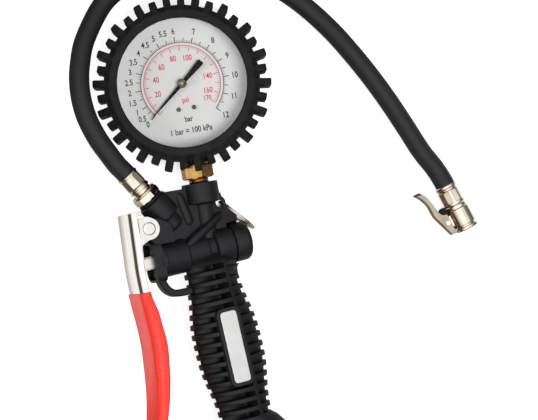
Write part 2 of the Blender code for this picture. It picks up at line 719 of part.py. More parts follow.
def handle_mesh():
    """Finned handle with a spine front and back, and a butt whose toe stands out behind it."""
    draft = 0.00015
    rings = []
    for y, inset, thinner in ((-0.0020, 0.0035, 0.0045), (FIN_START + 0.0030, 0.0012, 0.0020)):
        rings.append(handle_ring(y, handle_middle(y), WAIST_HALF_W - inset, WAIST_HALF_T - thinner, 0.0,
                                 handle_middle(y) + SPINE_X))
    for i in range(FIN_COUNT):
        top = FIN_START - i * FIN_PITCH
        for y, depth in ((top + draft, 0.0), (top, FIN_DEPTH), (top - FIN_SLOT, FIN_DEPTH),
                         (top - FIN_SLOT - draft, 0.0)):
            middle = handle_middle(y)
            rings.append(handle_ring(y, middle, *handle_size(y), depth, middle + SPINE_X))
    heel = handle_middle(FOOT_Y) - handle_size(FOOT_Y)[0]
    rear = handle_middle(FOOT_Y) + handle_size(FOOT_Y)[0]
    for along, reach, blend in ((0.08, 0.12, 0.0), (0.20, 0.22, 0.3), (0.33, 0.32, 0.5), (0.46, 0.46, 0.7),
                                (0.58, 0.64, 0.9), (0.70, 0.83, 1.0), (0.80, 0.94, 1.0), (0.90, 1.0, 1.0),
                                (0.965, 0.985, 1.0)):
        toe = rear + (FOOT_REACH - rear) * reach
        thickness = handle_size(FOOT_Y)[1] * (1 - blend) + FOOT_HALF_T * blend
        rings.append(handle_ring(FOOT_Y - along * FOOT_L, (toe + heel) / 2, (toe - heel) / 2, thickness,
                                 0.0,
                                 (toe + heel) / 2 + SPINE_X))
    middle, half = (FOOT_REACH + heel) / 2, (FOOT_REACH - heel) / 2
    rings.append(handle_ring(FOOT_END, middle, half - 0.0016, FOOT_HALF_T - 0.0014, 0.0, middle + SPINE_X))
    return loft(rings)


def body_moulding(body_frame, grip_frame):
    """One nylon moulding: valve housing, gauge boss, hose port, lever lug, loop, eyelet, handle and butt."""
    body = add("body_moulding", handle_mesh(), grip_frame, look=NYLON, sharp=28)
    along_valve = Matrix.Rotation(math.radians(90), 4, "Y")
    housing = [(0, HOOD_END - 0.0010), (BARREL_R, HOOD_END - 0.0010), (BARREL_R, BARREL_END),
               (WAIST_R, BARREL_END + 0.0004),
               (WAIST_R, WAIST_END), (REAR_R, WAIST_END + 0.0004), (REAR_R, REAR_END), (0, REAR_END)]
    hood = rounded(0, 0, HOOD_HALF_W, HOOD_HALF_H, 0.0040)
    pocket = rounded(0, 0, HOOD_HALF_W - POCKET_WALL, HOOD_HALF_H - POCKET_WALL, 0.0028)
    neck_end = GRIP_DROP - BARREL_R + 0.0045
    boss = [(0, 0), (BOSS_R - 0.0005, 0), (BOSS_R, 0.0005), (BOSS_R, BOSS_HEIGHT),
            (NECK_R, BOSS_HEIGHT + 0.0010),
            (NECK_R, neck_end), (0, neck_end)]
    port = [(0, -PORT_LENGTH), (PORT_R, -PORT_LENGTH), (PORT_R, -0.0006), (PORT_R - 0.0006, 0), (0, 0)]
    web = [(-0.0170, 0.0372), (0.0000, 0.0362), (0.0030, 0.0080), (-0.0180, 0.0080), (-0.0240, 0.0230)]
    lug_out = LUG_HALF_W - 0.0003
    lug = arc(PIN_X, PIN_Y, EAR_R - 0.0008, 90, 260, 6) + [(HOOD_X + 0.0030, 0.0095), (-0.0190, 0.0085),
                                                        (-0.0185, 0.0150), (-0.0222, 0.0198)]
    loop = [(HOOD_X + 0.0012, -0.0070), (HOOD_X + 0.0018, -0.0122), (HOOD_X + 0.0036, -0.0173),
            (HOOD_X + 0.0071, -0.0207), (HOOD_X + 0.0120, -0.0226), (HANDLE_X - 0.0130, -0.0232),
            (HANDLE_X - 0.0100, -0.0060)]
    over_cap = CAP_R + 2 * FIT
    gusset = [(0.0070, 0.0300), (0.0155, 0.0300), (0.0160, 0.0270), (0.0176, 0.0230), (0.0210, 0.0190),
              (0.0222, 0.0155), (0.0222,
                                 over_cap), (REAR_END - 0.0004, over_cap), (REAR_END - 0.0004, 0.0060),
              (0.0060, 0.0060)]
    fillet = [(0.0060, -0.0070), (REAR_END - 0.0004, -0.0070), (REAR_END - 0.0004, -over_cap),
              (0.0186, -over_cap), (0.0168, -0.0134), (0.0159, -0.0165), (0.0060, -0.0165)]
    brace = [(-0.0120, 0.0030), (0.0090, 0.0108), (0.0090, 0.0148), (-0.0120, 0.0062)]
    eyelet = arc(EYE_X, EYE_Y, EYE_R + EYE_RIM, 50, -60,
                 6) + [(EYE_X - 0.0060, EYE_Y - 0.0080), (EYE_X - 0.0060, EYE_Y + 0.0020)]
    frame = rounded(NAME_PLATE_X, NAME_PLATE_Y, NAME_PLATE_W / 2 + NAME_FRAME,
                    NAME_PLATE_L / 2 + NAME_FRAME,
                    NAME_PLATE_ROUND + NAME_FRAME)
    combine(body, "UNION", [
        add("add_housing", turned(housing, 28), grip_frame, along_valve),
        add("add_hood", prism(hood, HOOD_X, HOOD_END), grip_frame, along_valve),
        add("add_boss", turned(boss, MEDIUM), body_frame, aimed((0, BOSS_TOP, 0), (0, -1, 0))),
        add("add_port", turned(port, MEDIUM), grip_frame, port_place(0)),
        add("add_web", prism(web, -0.0052, 0.0052), grip_frame),
        add("add_lug", prism(lug, -lug_out, lug_out), grip_frame),
        add("add_loop", prism(loop, -LOOP_HALF_W, LOOP_HALF_W), grip_frame),
        add("add_gusset", prism(gusset, EYE_LOW - 0.0012, EYE_LOW + EYE_T - 0.0005), grip_frame),
        add("add_fillet", prism(fillet, -0.0050, 0.0050), grip_frame),
        add("add_brace", prism(brace, -0.0075, 0.0075), grip_frame),
        add("add_eyelet", prism(eyelet, EYE_LOW, EYE_LOW + EYE_T), grip_frame),
        add("add_frame", prism(frame, NAME_FRAME_TOP - 0.0060, NAME_FRAME_TOP), grip_frame)])

    gland = GLAND_BORE_R + FIT
    bores = [(0, HOOD_X - 0.0010), (gland, HOOD_X - 0.0010), (gland, GLAND_END),
             (PLUNGER_R + 0.0026, GLAND_END), (PLUNGER_R + 0.0026, SEAT_X - FIT),
             (SEAT_R + FIT, SEAT_X - FIT), (SEAT_R + FIT, SEAT_X + SEAT_T + 0.0002),
             (CHAMBER_R, SEAT_X + SEAT_T + 0.0004),
             (CHAMBER_R, SPIGOT_END - FIT), (SPIGOT_R + FIT,
                                             SPIGOT_END - FIT), (SPIGOT_R + FIT, REAR_END + 0.0010),
             (0, REAR_END + 0.0010)]
    bush_top = FOOT_END + BUSH_LENGTH
    airway = [(0, 0.0030), (AIRWAY_R, 0.0030), (AIRWAY_R, -bush_top - FIT), (BUSH_R + FIT, -bush_top - FIT),
              (BUSH_R + FIT, -FOOT_END + 0.0010), (0, -FOOT_END + 0.0010)]
    thread = THREAD_R + FIT
    boss_depth = BOSS_TOP - THREAD_END + FIT
    boss_bore = [(0, -0.0010), (thread, -0.0010), (thread, boss_depth), (0, boss_depth)]
    port_bore = [(0, -PORT_THREAD_L - 0.0010), (PORT_THREAD_R + FIT, -PORT_THREAD_L - 0.0010),
                 (PORT_THREAD_R + FIT, 0.0010),
                 (0, 0.0010)]
    window = [(HOOD_X + 0.0074, -0.0108), (HANDLE_X - 0.0172, -0.0108), (HANDLE_X - 0.0172, -0.0142),
              (HANDLE_X - 0.0198, -0.0174), (HOOD_X + 0.0098, -0.0174), (HOOD_X + 0.0080, -0.0148)]
    outlet = Vector(((SEAT_X + GLAND_END) / 2, 0.0020, 0))

    def drill(name, start, radius):
        way = outlet - Vector(start)
        return add(name, turned([(0, -0.0005), (radius, -0.0005), (radius, way.length), (0, way.length)],
                                8),
                   grip_frame, aimed(start, way))

    port_axis = math.radians(PORT_ANGLE)
    port_end = (PORT_X - PORT_THREAD_L * math.cos(port_axis),
                PORT_Y - PORT_THREAD_L * math.sin(port_axis), 0)
    lean = math.radians(GRIP_LEAN)
    boss_end = THREAD_END - GRIP_Y
    boss_low = (-GRIP_X * math.cos(lean) + boss_end * math.sin(lean),
                GRIP_X * math.sin(lean) + boss_end * math.cos(lean), 0)
    recess = rounded(NAME_PLATE_X, NAME_PLATE_Y, NAME_PLATE_W / 2 + FIT, NAME_PLATE_L / 2 + FIT,
                     NAME_PLATE_ROUND + FIT)
    combine(body, "DIFFERENCE", [
        add("cut_pocket", prism(pocket, HOOD_X - 0.0010, HOOD_X + POCKET), grip_frame, along_valve),
        add("cut_valve", turned(bores, MEDIUM), grip_frame, along_valve),
        add("cut_airway", turned(airway, COARSE), grip_frame, aimed((INLET_X, 0, 0), (0, -1, 0))),
        add("cut_boss", turned(boss_bore, COARSE), body_frame, aimed((0, BOSS_TOP, 0), (0, -1, 0))),
        add("cut_port", turned(port_bore, COARSE), grip_frame, port_place(0)),
        add("cut_window", prism(window, -0.0200, 0.0200), grip_frame),
        add("cut_eye", prism(arc(EYE_X, EYE_Y, EYE_R, 0, 330, 11), -0.0100, 0.0100), grip_frame),
        add("cut_pin", prism(arc(PIN_X, PIN_Y, PIN_R + EYE_CLEAR, 0, 345, 23), -0.0200, 0.0200),
            grip_frame),
        add("cut_plate", prism(recess, NAME_FRAME_TOP - NAME_PLATE_T - FIT, NAME_FRAME_TOP + 0.0010),
            grip_frame),
        drill("cut_port_way", port_end, 0.0018),
        drill("cut_boss_way", boss_low, 0.0014)])


def valve_fixed(grip_frame):
    """Gland, seat, end cap and its ring, which stay in the body."""
    place = Matrix.Rotation(math.radians(90), 4, "Y")
    front = HOOD_X + POCKET - FIT
    gland = [(PLUNGER_R + 0.0002, GLAND_END - FIT), (GLAND_BORE_R, GLAND_END - FIT),
             (GLAND_BORE_R, front), (HEAD_R + 0.0005, front),
             (HEAD_R + 0.0005, HEAD_END + 0.0072), (PLUNGER_R + 0.0002, HEAD_END + 0.0072)]
    add("gland_nut", turned(list(reversed(gland)), MEDIUM), grip_frame, place, NICKEL)
    seat = [(SEAT_BORE_R, SEAT_X), (SEAT_R, SEAT_X), (SEAT_R, SEAT_X + SEAT_T - 0.0008),
            (SEAT_BORE_R + 0.0012, SEAT_X + SEAT_T - 0.0008),
            (SEAT_BORE_R + 0.0006, SEAT_X + SEAT_T), (SEAT_BORE_R, SEAT_X + SEAT_T)]
    add("valve_seat", turned(seat, MEDIUM), grip_frame, place, BRASS)
    groove = 0.0011
    middle = (SPIGOT_END + REAR_END) / 2
    cap = [(0, CAP_END - 0.0040), (SPRING_R + 0.0012, CAP_END - 0.0040), (SPRING_R + 0.0012, SPIGOT_END),
           (SPIGOT_R, SPIGOT_END),
           (SPIGOT_R, middle - 0.0010), (SPIGOT_R - groove,
                                         middle - 0.0010), (SPIGOT_R - groove, middle + 0.0010),
           (SPIGOT_R, middle + 0.0010), (SPIGOT_R, REAR_END + FIT), (CAP_R, REAR_END + FIT),
           (CAP_R, CAP_END - CAP_ROUND),
           (CAP_R - CAP_ROUND * 0.3, CAP_END - CAP_ROUND * 0.3), (CAP_R - CAP_ROUND, CAP_END), (0, CAP_END)]
    add("valve_end_cap", turned(cap, 28), grip_frame, place, NYLON)
    ring_r = (groove - 0.0001) / 2
    ring = [(SPIGOT_R - groove / 2 + 0.00005 + x, middle + y) for x, y in arc(0, 0, ring_r, 0, 300, 5)]
    add("end_cap_oring", turned(ring, 28), grip_frame, place, RUBBER)


def valve_moving(slide):
    """Plunger that the trigger pushes, and the poppet it lifts off the seat."""
    lift = -HEAD_END
    place = Matrix.Rotation(math.radians(90), 4, "Y")
    apex = lever_inner_x(0.0) + FIT
    head = []
    for i in range(4):
        a = math.asin(HEAD_R / HEAD_DOME) * i / 3
        head.append((HEAD_DOME * math.sin(a), apex + HEAD_DOME * (1 - math.cos(a)) + lift))
    plunger = head + [(HEAD_R, HEAD_END + lift), (PLUNGER_R, HEAD_END + lift),
                      (PLUNGER_R, PLUNGER_END + lift), (0, PLUNGER_END + lift)]
    add("plunger", turned(plunger, COARSE), slide, place, NICKEL)
    face = SEAT_X + SEAT_T + FIT + lift
    poppet = [(0, PLUNGER_END + FIT + lift), (POPPET_STEM_R, PLUNGER_END + FIT + lift),
              (POPPET_STEM_R, face), (POPPET_R, face),
              (POPPET_R, face + POPPET_T), (SPRING_R - SPRING_WIRE,
                                            face + POPPET_T), (SPRING_R - SPRING_WIRE,
            face + POPPET_T + 0.0020),
              (0, face + POPPET_T + 0.0020)]
    add("valve_poppet", turned(poppet, COARSE), slide, place, BRASS)


def valve_spring(grip_frame):
    """Compression spring between the poppet and the end cap, drawn as its open coil."""
    start = SEAT_X + SEAT_T + FIT + POPPET_T + FIT + SPRING_WIRE / 2
    end = CAP_END - 0.0040 - FIT - SPRING_WIRE / 2
    per_turn = 8
    count = SPRING_TURNS * per_turn
    points = []
    for i in range(count + 1):
        a = 2 * math.pi * i / per_turn
        points.append((start + (end - start) * i / count, SPRING_R * math.cos(a), SPRING_R * math.sin(a)))
    tube("valve_spring", points, SPRING_WIRE / 2, STEEL, grip_frame, 1)


def name_plate(grip_frame):
    """Bare plate in the frame on the handle."""
    outline = rounded(NAME_PLATE_X, NAME_PLATE_Y, NAME_PLATE_W / 2, NAME_PLATE_L / 2, NAME_PLATE_ROUND)
    add("name_plate", prism(outline, NAME_FRAME_TOP - NAME_PLATE_T, NAME_FRAME_TOP), grip_frame,
        look=SILVER)


def hanging_ring(axis):
    """Ring through the eyelet, lying out over the rear cap."""
    lean = Matrix.Rotation(math.radians(-RING_TILT), 3, "Y") @ Vector((0, 0, 1))
    out = Matrix.Rotation(math.radians(RING_ANGLE), 3, "Z") @ Vector((1, 0, 0))
    out = (out - lean * out.dot(lean)).normalized()
    place = Matrix((out, lean, out.cross(lean))).transposed().to_4x4()
    place.translation = out * RING_R
    section = [(RING_R + x, y) for x, y in arc(0, 0, RING_WIRE, 0, 300, 5)]
    add("hanging_ring", turned(section, 28), axis, place, NICKEL)


def inlet(grip_frame):
    """Brass bush in the butt and the plug that a compressor's coupling takes."""
    top = FOOT_END + BUSH_LENGTH
    thread = INLET_THREAD_R + FIT
    bush = [(thread, -top), (BUSH_R, -top), (BUSH_R, -FOOT_END + 0.0004), (thread, -FOOT_END + 0.0004)]
    place = aimed((INLET_X, 0, 0), (0, -1, 0))
    add("inlet_bush", turned(bush, MEDIUM), grip_frame, place, BRASS)
    low = -FOOT_END + 0.0004 + FIT
    hexagon = low + INLET_HEX_T
    end = hexagon + INLET_PLUG_L
    plug = [(INLET_BORE_R, -top + 0.0010), (INLET_THREAD_R, -top + 0.0010),
            (INLET_THREAD_R, low + 0.0010), (INLET_PLUG_R, hexagon - 0.0010),
            (INLET_PLUG_R, hexagon + 0.0060), (INLET_PLUG_R + 0.0010,
                                               hexagon + 0.0080), (INLET_PLUG_R + 0.0010, hexagon + 0.0100),
            (INLET_PLUG_R - 0.0012, hexagon + 0.0118), (INLET_PLUG_R - 0.0012,
                                                        end - 0.0060), (INLET_PLUG_R, end - 0.0050),
            (INLET_PLUG_R, end - 0.0010), (INLET_PLUG_R - 0.0010, end), (INLET_BORE_R, end)]
    piece = add("inlet_plug", turned(plug, MEDIUM), grip_frame, place, NICKEL)
    nut = turned([(INLET_BORE_R + 0.0010, low), (INLET_HEX_R, low), (INLET_HEX_R, hexagon),
                  (INLET_BORE_R + 0.0010, hexagon)], 6)
    combine(piece, "UNION", [add("plug_hexagon", nut, grip_frame, place)])


# --- Trigger -------------------------------------------------------------------------------------------
LEVER_BACK = [(-0.0433, 0.0296), (-0.0444, 0.0180), (-0.0454, 0.0070), (-0.0463, -0.0030),
              (-0.0466, -0.0160),
              (-0.0463, -0.0255), (-0.0460,
                                   -0.0337), (-0.0460, -0.0417), (-0.0465, -0.0496), (-0.0472, -0.0555),
              (-0.0481, -0.0630), (-0.0493,
                                   -0.0708), (-0.0508, -0.0784), (-0.0527, -0.0860), (-0.0552, -0.0940),
              (-0.0568, -0.0985)]
LEVER_EDGE = [(-0.0550, -0.0990), (-0.0522, -0.0935), (-0.0488, -0.0863), (-0.0461, -0.0791),
              (-0.0440, -0.0718),
              (-0.0421, -0.0643), (-0.0408,
                                   -0.0567), (-0.0399, -0.0513), (-0.0392, -0.0436), (-0.0396, -0.0356),
              (-0.0400, -0.0276), (-0.0411,
                                   -0.0220), (-0.0419, -0.0163), (-0.0414, 0.0010), (-0.0398, 0.0130)]


def lever_inner_x(y):
    """Where the inside of the lever's web crosses a height near the pin."""
    (x0, y0), (x1, y1) = LEVER_BACK[2], LEVER_BACK[3]
    return x0 + (x1 - x0) * (y - y0) / (y1 - y0) + LEVER_T


def offset_line(points, distance):
    """A polyline moved sideways, to its left."""
    moved = []
    for i, point in enumerate(points):
        before, after = points[max(i - 1, 0)], points[min(i + 1, len(points) - 1)]
        way = Vector((after[0] - before[0], after[1] - before[1])).normalized()
        moved.append((point[0] - way.y * distance, point[1] + way.x * distance))
    return moved


def about_pin(outline):
    """An outline measured from the trigger's pin."""
    return [(x - PIN_X, y - PIN_Y) for x, y in outline]


def lever(axis):
    """Pressed steel channel open towards the handle, with ears on the pin and a tab over its top."""
    ear = arc(PIN_X, PIN_Y, EAR_R, -100, 90, 9) + [(LEVER_BACK[0][0], PIN_Y + EAR_R)]
    outline = about_pin(LEVER_BACK[1:] + LEVER_EDGE + ear)
    channel = add("lever", prism(outline, -LEVER_HALF_W, LEVER_HALF_W), axis, look=CHROME)
    inside = LEVER_HALF_W - LEVER_T
    web = offset_line(LEVER_BACK, LEVER_T)
    hollow = about_pin([(web[0][0], PIN_Y + EAR_R + 0.0010)] + web[1:]
                       + [(web[-1][0] + 0.0300, web[-1][1] - 0.0080),
                          (PIN_X + 0.0200, PIN_Y + EAR_R + 0.0010)])
    top = LEVER_BACK[0][1]
    tab = about_pin([LEVER_BACK[1], LEVER_BACK[0], (TAB_END, top), (TAB_END, top - LEVER_T),
                     (web[0][0], top - LEVER_T), web[1]])
    combine(channel, "DIFFERENCE", [
        add("cut_channel", prism(hollow, -inside, inside), axis),
        add("cut_ears", prism(arc(0, 0, PIN_R + EYE_CLEAR, 0, 345, 23), -0.0200, 0.0200), axis)])
    combine(channel, "UNION", [add("lever_tab", prism(tab, -TAB_HALF_W, TAB_HALF_W), axis)])


def lever_grip(axis):
    """Red sleeve pulled over the lower part of the lever."""
    back = [p for p in LEVER_BACK if p[1] < SLEEVE_Y - 0.0005]
    edge = [p for p in LEVER_EDGE if p[1] < SLEEVE_Y - 0.0005]
    back = [(back[0][0], SLEEVE_Y)] + back
    edge = edge + [(edge[-1][0], SLEEVE_Y)]
    gap = SLEEVE_GAP
    back[-1], edge[0] = (back[-1][0] - gap, back[-1][1] - gap), (edge[0][0] + gap / 2, edge[0][1] - gap)
    core = offset_line(back, -gap) + offset_line(edge, -gap)
    skin = offset_line(back, -gap - SLEEVE_T) + offset_line(edge, -gap - SLEEVE_T)
    last = len(back) - 1
    skin.insert(last + 1, ((skin[last][0] + skin[last + 1][0]) / 2, skin[last][1] - 0.0014))
    core[0], core[-1] = (core[0][0], SLEEVE_Y + 0.0010), (core[-1][0], SLEEVE_Y + 0.0010)
    half = LEVER_HALF_W + gap
    sleeve = add("lever_grip", prism(about_pin(skin), -half - SLEEVE_T, half + SLEEVE_T), axis,
                 look=RED_PVC)
    combine(sleeve, "DIFFERENCE", [add("cut_sleeve", prism(about_pin(core), -half, half), axis)])


def lever_pin(grip_frame):
    """Rivet through the lug and the lever's ears."""
    out = LEVER_HALF_W + FIT
    profile = [(0, -out - PIN_HEAD_T), (PIN_HEAD_R - 0.0004, -out - PIN_HEAD_T),
               (PIN_HEAD_R, -out - PIN_HEAD_T / 2), (PIN_HEAD_R, -out), (PIN_R, -out),
               (PIN_R, out), (PIN_HEAD_R, out), (PIN_HEAD_R, out + PIN_HEAD_T / 2),
               (PIN_HEAD_R - 0.0004, out + PIN_HEAD_T), (0, out + PIN_HEAD_T)]
    add("lever_pin", turned(profile, MEDIUM), grip_frame, shifted(PIN_X, PIN_Y, 0), NICKEL)


# --- Hose ----------------------------------------------------------------------------------------------
def hose_fittings(grip_frame):
    """Sealing washer, tail with its hexagon, and the crimped ferrule at the body's end of the hose."""
    seal = [(PORT_THREAD_R + FIT, FIT), (PORT_R - 0.0012, FIT), (PORT_R - 0.0012, FIT + SEAL_T),
            (PORT_THREAD_R + FIT, FIT + SEAL_T)]
    add("hose_seal", turned(seal, MEDIUM), grip_frame, port_place(0), RUBBER)
    low = 2 * FIT + SEAL_T
    collar = low + HOSE_HEX_T
    ferrule = collar + COLLAR_T + FIT
    tail = [(TAIL_BORE_R, -PORT_THREAD_L), (PORT_THREAD_R, -PORT_THREAD_L), (PORT_THREAD_R, low + 0.0010),
            (COLLAR_R, low + 0.0020),
            (COLLAR_R, collar + COLLAR_T), (BARB_R,
                                            collar + COLLAR_T), (BARB_R, ferrule + FERRULE_L - 0.0010),
            (TAIL_BORE_R, ferrule + FERRULE_L - 0.0010)]
    piece = add("hose_tail", turned(tail, MEDIUM), grip_frame, port_place(0), NICKEL)
    nut = turned([(TAIL_BORE_R + 0.0010, low), (HOSE_HEX_R - 0.0006, low), (HOSE_HEX_R, low + 0.0006),
                  (HOSE_HEX_R, collar - 0.0006),
                  (HOSE_HEX_R - 0.0006, collar), (TAIL_BORE_R + 0.0010, collar)], 6, math.radians(20))
    combine(piece, "UNION", [add("tail_hexagon", nut, grip_frame, port_place(0))])
    add("hose_ferrule", ferrule_mesh(ferrule, FERRULE_L), grip_frame, port_place(0), NICKEL)
    return ferrule + FERRULE_L + FIT


def ferrule_mesh(low, length):
    """Crimped sleeve: a ring with a rolled edge, drawn in a little between its ends."""
    bore = BARB_R + FIT
    return turned([(bore, low), (FERRULE_R, low), (FERRULE_R, low + 0.0016),
                   (FERRULE_R - 0.0005, low + 0.0022),
                   (FERRULE_R - 0.0003, low + length - 0.0012), (FERRULE_R - 0.0001, low + length),
                   (bore, low + length)], MEDIUM)


def hose(grip_frame, port_out):
    """Rubber hose on one smooth route from the port's ferrule to the chuck's."""
    bpy.context.view_layer.update()
    lead = 0.6 * HOSE_R
    start, ahead = [grip_frame.matrix_world @ port_place(port_out + out).translation for out in (0, lead)]
    heading = Vector((math.cos(math.radians(CHUCK_HEADING)), math.sin(math.radians(CHUCK_HEADING)), 0))
    end = Vector((*CHUCK_AT, CHUCK_Z)) - heading * FIT
    route = [ahead] + HOSE_ROUTE + [end - heading * lead]
    tube("hose", [start] + smooth_route(route, 4.2 * HOSE_R) + [end], HOSE_R, RUBBER)


# --- Chuck ---------------------------------------------------------------------------------------------
def chuck(home):
    """Clip-on chuck on the end of the hose; +Z runs from the hose to the mouth, +X to the clip."""
    add("chuck_ferrule", ferrule_mesh(0, CHUCK_FERRULE_L), home, look=NICKEL)
    low = CHUCK_FERRULE_L + FIT
    mouth = low + CHUCK_LENGTH
    inner = mouth - CHUCK_MOUTH_L
    tail = [(TAIL_BORE_R, 0.0010), (BARB_R, 0.0010), (BARB_R, low + 0.0040), (TAIL_BORE_R, low + 0.0040)]
    add("chuck_tail", turned(tail, COARSE), home, look=NICKEL)
    bore = BARB_R + FIT
    body = [(bore, low), (CHUCK_R - 0.0008, low), (CHUCK_R, low + 0.0008), (CHUCK_R, mouth - 0.0022),
            (CHUCK_R + 0.0003, mouth - 0.0018),
            (CHUCK_R + 0.0003, mouth - 0.0005), (CHUCK_R - 0.0002,
                                                 mouth), (CHUCK_MOUTH_R, mouth), (CHUCK_MOUTH_R,
            inner), (0.0020, inner),
            (0.0020, low + 0.0043), (bore, low + 0.0043)]
    piece = add("chuck_body", turned(body, MEDIUM), home, look=NICKEL)
    out = CHUCK_PIN_OUT + CHUCK_PIN_R + 0.0010
    lug = prism([(CHUCK_R - 0.0020, CHUCK_PIN_S - 0.0038), (out - 0.0010, CHUCK_PIN_S - 0.0024),
                 (out, CHUCK_PIN_S), (out - 0.0010, CHUCK_PIN_S + 0.0024),
                 (CHUCK_R - 0.0020, CHUCK_PIN_S + 0.0038)], -CHUCK_LUG_HALF_W, CHUCK_LUG_HALF_W)
    side = Matrix.Rotation(math.radians(90), 4, "X")
    combine(piece, "UNION", [add("chuck_lug", lug, home, side)])
    slot = prism([(CHUCK_MOUTH_R - 0.0020, mouth - 0.0042), (CHUCK_R + 0.0040, mouth - 0.0042),
                  (CHUCK_R + 0.0040, mouth + 0.0010),
                  (CHUCK_MOUTH_R - 0.0020, mouth + 0.0010)], -0.0026, 0.0026)
    pin_hole = prism(arc(CHUCK_PIN_OUT, CHUCK_PIN_S, CHUCK_PIN_R + EYE_CLEAR, 0, 330, 11), -0.0100, 0.0100)
    combine(piece, "DIFFERENCE", [add("cut_clip_slot", slot, home, side),
                                  add("cut_clip_pin", pin_hole, home, side)])
    seal = [(0.0014, inner + FIT), (CHUCK_MOUTH_R - FIT, inner + FIT),
            (CHUCK_MOUTH_R - FIT, inner + 0.0030), (0.0014, inner + 0.0030)]
    add("chuck_seal", turned(seal, COARSE), home, look=RUBBER)
    half = CLIP_HALF_W + FIT
    pin = [(0, -half - 0.0005), (CHUCK_PIN_R + 0.0005, -half - 0.0005), (CHUCK_PIN_R + 0.0005, -half),
           (CHUCK_PIN_R, -half), (CHUCK_PIN_R, half),
           (CHUCK_PIN_R + 0.0005, half), (CHUCK_PIN_R + 0.0005, half + 0.0005), (0, half + 0.0005)]
    add("chuck_clip_pin", turned(pin, 12), home, aimed((CHUCK_PIN_OUT, 0, CHUCK_PIN_S), (0, 1, 0)), NICKEL)
    return mouth


CLIP_BACK = [(0.0104, 0.0268), (0.0128, 0.0195), (0.0149, 0.0126), (0.0152, 0.0057), (0.0171, 0.0004),
             (0.0195, -0.0031)]
CLIP_EDGE = [(0.0180, -0.0050), (0.0160, -0.0036), (0.0141, 0.0006), (0.0128, 0.0044), (0.0120, 0.0100),
             (0.0102, 0.0138),
             (0.0072, 0.0154), (0.0072, 0.0232), (0.0078, 0.0262)]


def chuck_clip(axis, mouth):
    """Bent clip: thumb tab, two cheeks on the pin and a nose that catches the valve's thread."""
    nose = [(0.0046, mouth - 0.0030), (0.0046, mouth - 0.0016), (0.0080, mouth - 0.0008)]
    outline = [(x - CHUCK_PIN_OUT, s - CHUCK_PIN_S) for x, s in CLIP_BACK + CLIP_EDGE]
    side = Matrix.Rotation(math.radians(90), 4, "X")
    clip = add("chuck_clip", prism(outline, -CLIP_HALF_W, CLIP_HALF_W), axis, side, NICKEL)
    inside = CLIP_HALF_W - CLIP_T
    hollow = offset_line([(x - CHUCK_PIN_OUT, s - CHUCK_PIN_S) for x, s in CLIP_BACK], -CLIP_T)
    (x0, y0), (x1, y1) = hollow[0], hollow[-1]
    hollow = ([(x0 + 0.0004, y0 + 0.0040)] + hollow
              + [(x1 - 0.0080, y1 - 0.0060), (-0.0060, -0.0140), (-0.0060, 0.0100)])
    tongue = [(x - CHUCK_PIN_OUT, s - CHUCK_PIN_S) for x, s in nose]
    tongue += [(0.0013, 0.0060), (0.0002, 0.0046), (-0.0012, mouth - 0.0030 - CHUCK_PIN_S)]
    combine(clip, "DIFFERENCE", [
        add("cut_clip", prism(hollow, -inside, inside), axis, side),
        add("cut_clip_eye", prism(arc(0, 0, CHUCK_PIN_R + EYE_CLEAR, 0, 330, 11), -0.0100, 0.0100), axis,
            side)])
    combine(clip, "UNION", [add("clip_nose", prism(tongue, -0.0020, 0.0020), axis, side)])


# --- Assembly ------------------------------------------------------------------------------------------
def main():
    """Build the frames and every piece on them."""
    clear_scene()
    body_frame = frame_at("body_frame", None, shifted(0, 0,
                                                      STEM_Z) @ Matrix.Rotation(math.radians(BODY_TURN), 4,
            "Y"))
    grip_frame = frame_at("grip_frame", body_frame, shifted(GRIP_X, GRIP_Y,
                                                            0) @ Matrix.Rotation(math.radians(GRIP_LEAN), 4,
            "Z"))
    pointer_axis = frame_at("pointer_axis", None, Matrix())
    sector_axis = frame_at("sector_axis", None, shifted(0, -(PINION_R + SECTOR_R), 0))
    trigger_axis = frame_at("trigger_axis", grip_frame, shifted(PIN_X, PIN_Y, 0))
    valve_slide = frame_at("valve_slide", grip_frame, shifted(HEAD_END, 0, 0))
    ring_axis = frame_at("ring_axis", grip_frame, shifted(EYE_X, EYE_Y, EYE_LOW + EYE_T / 2))
    heading = Vector((math.cos(math.radians(CHUCK_HEADING)), math.sin(math.radians(CHUCK_HEADING)), 0))
    clip_side = Vector((heading.y, -heading.x, 0))
    turn = Matrix((clip_side, clip_side.cross(heading) * -1, heading)).transposed().to_4x4()
    chuck_frame = frame_at("chuck_frame", None, shifted(*CHUCK_AT, CHUCK_Z) @ turn)
    clip_axis = frame_at("clip_axis", chuck_frame, shifted(CHUCK_PIN_OUT, 0, CHUCK_PIN_S))

    gauge_boot()
    gauge_case()
    gauge_window()
    dial_plate()
    dial_screws()
    pointer(pointer_axis)
    movement()
    tail, link_low = sector_gear(sector_axis)
    tail_world = (tail[0], tail[1] - PINION_R - SECTOR_R)
    link_axis = frame_at("link_axis", sector_axis, shifted(*tail, 0))
    link(link_axis, tail_world, link_low)
    bourdon_tube(link_low)
    gauge_socket()

    body_moulding(body_frame, grip_frame)
    valve_fixed(grip_frame)
    valve_moving(valve_slide)
    valve_spring(grip_frame)
    name_plate(grip_frame)
    hanging_ring(ring_axis)
    inlet(grip_frame)

    lever(trigger_axis)
    lever_grip(trigger_axis)
    lever_pin(grip_frame)

    port_out = hose_fittings(grip_frame)
    hose(grip_frame, port_out)
    mouth = chuck(chuck_frame)
    chuck_clip(clip_axis, mouth)


main()
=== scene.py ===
"""Looks of the tyre inflator: the skins, finishes, dial print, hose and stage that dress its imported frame.

Metres throughout, in the frame's own axes: the gauge lies on its back at the origin with its dial up.
Each piece is a numpy grid of points, placed by one of the frames below and handed to skin().
"""

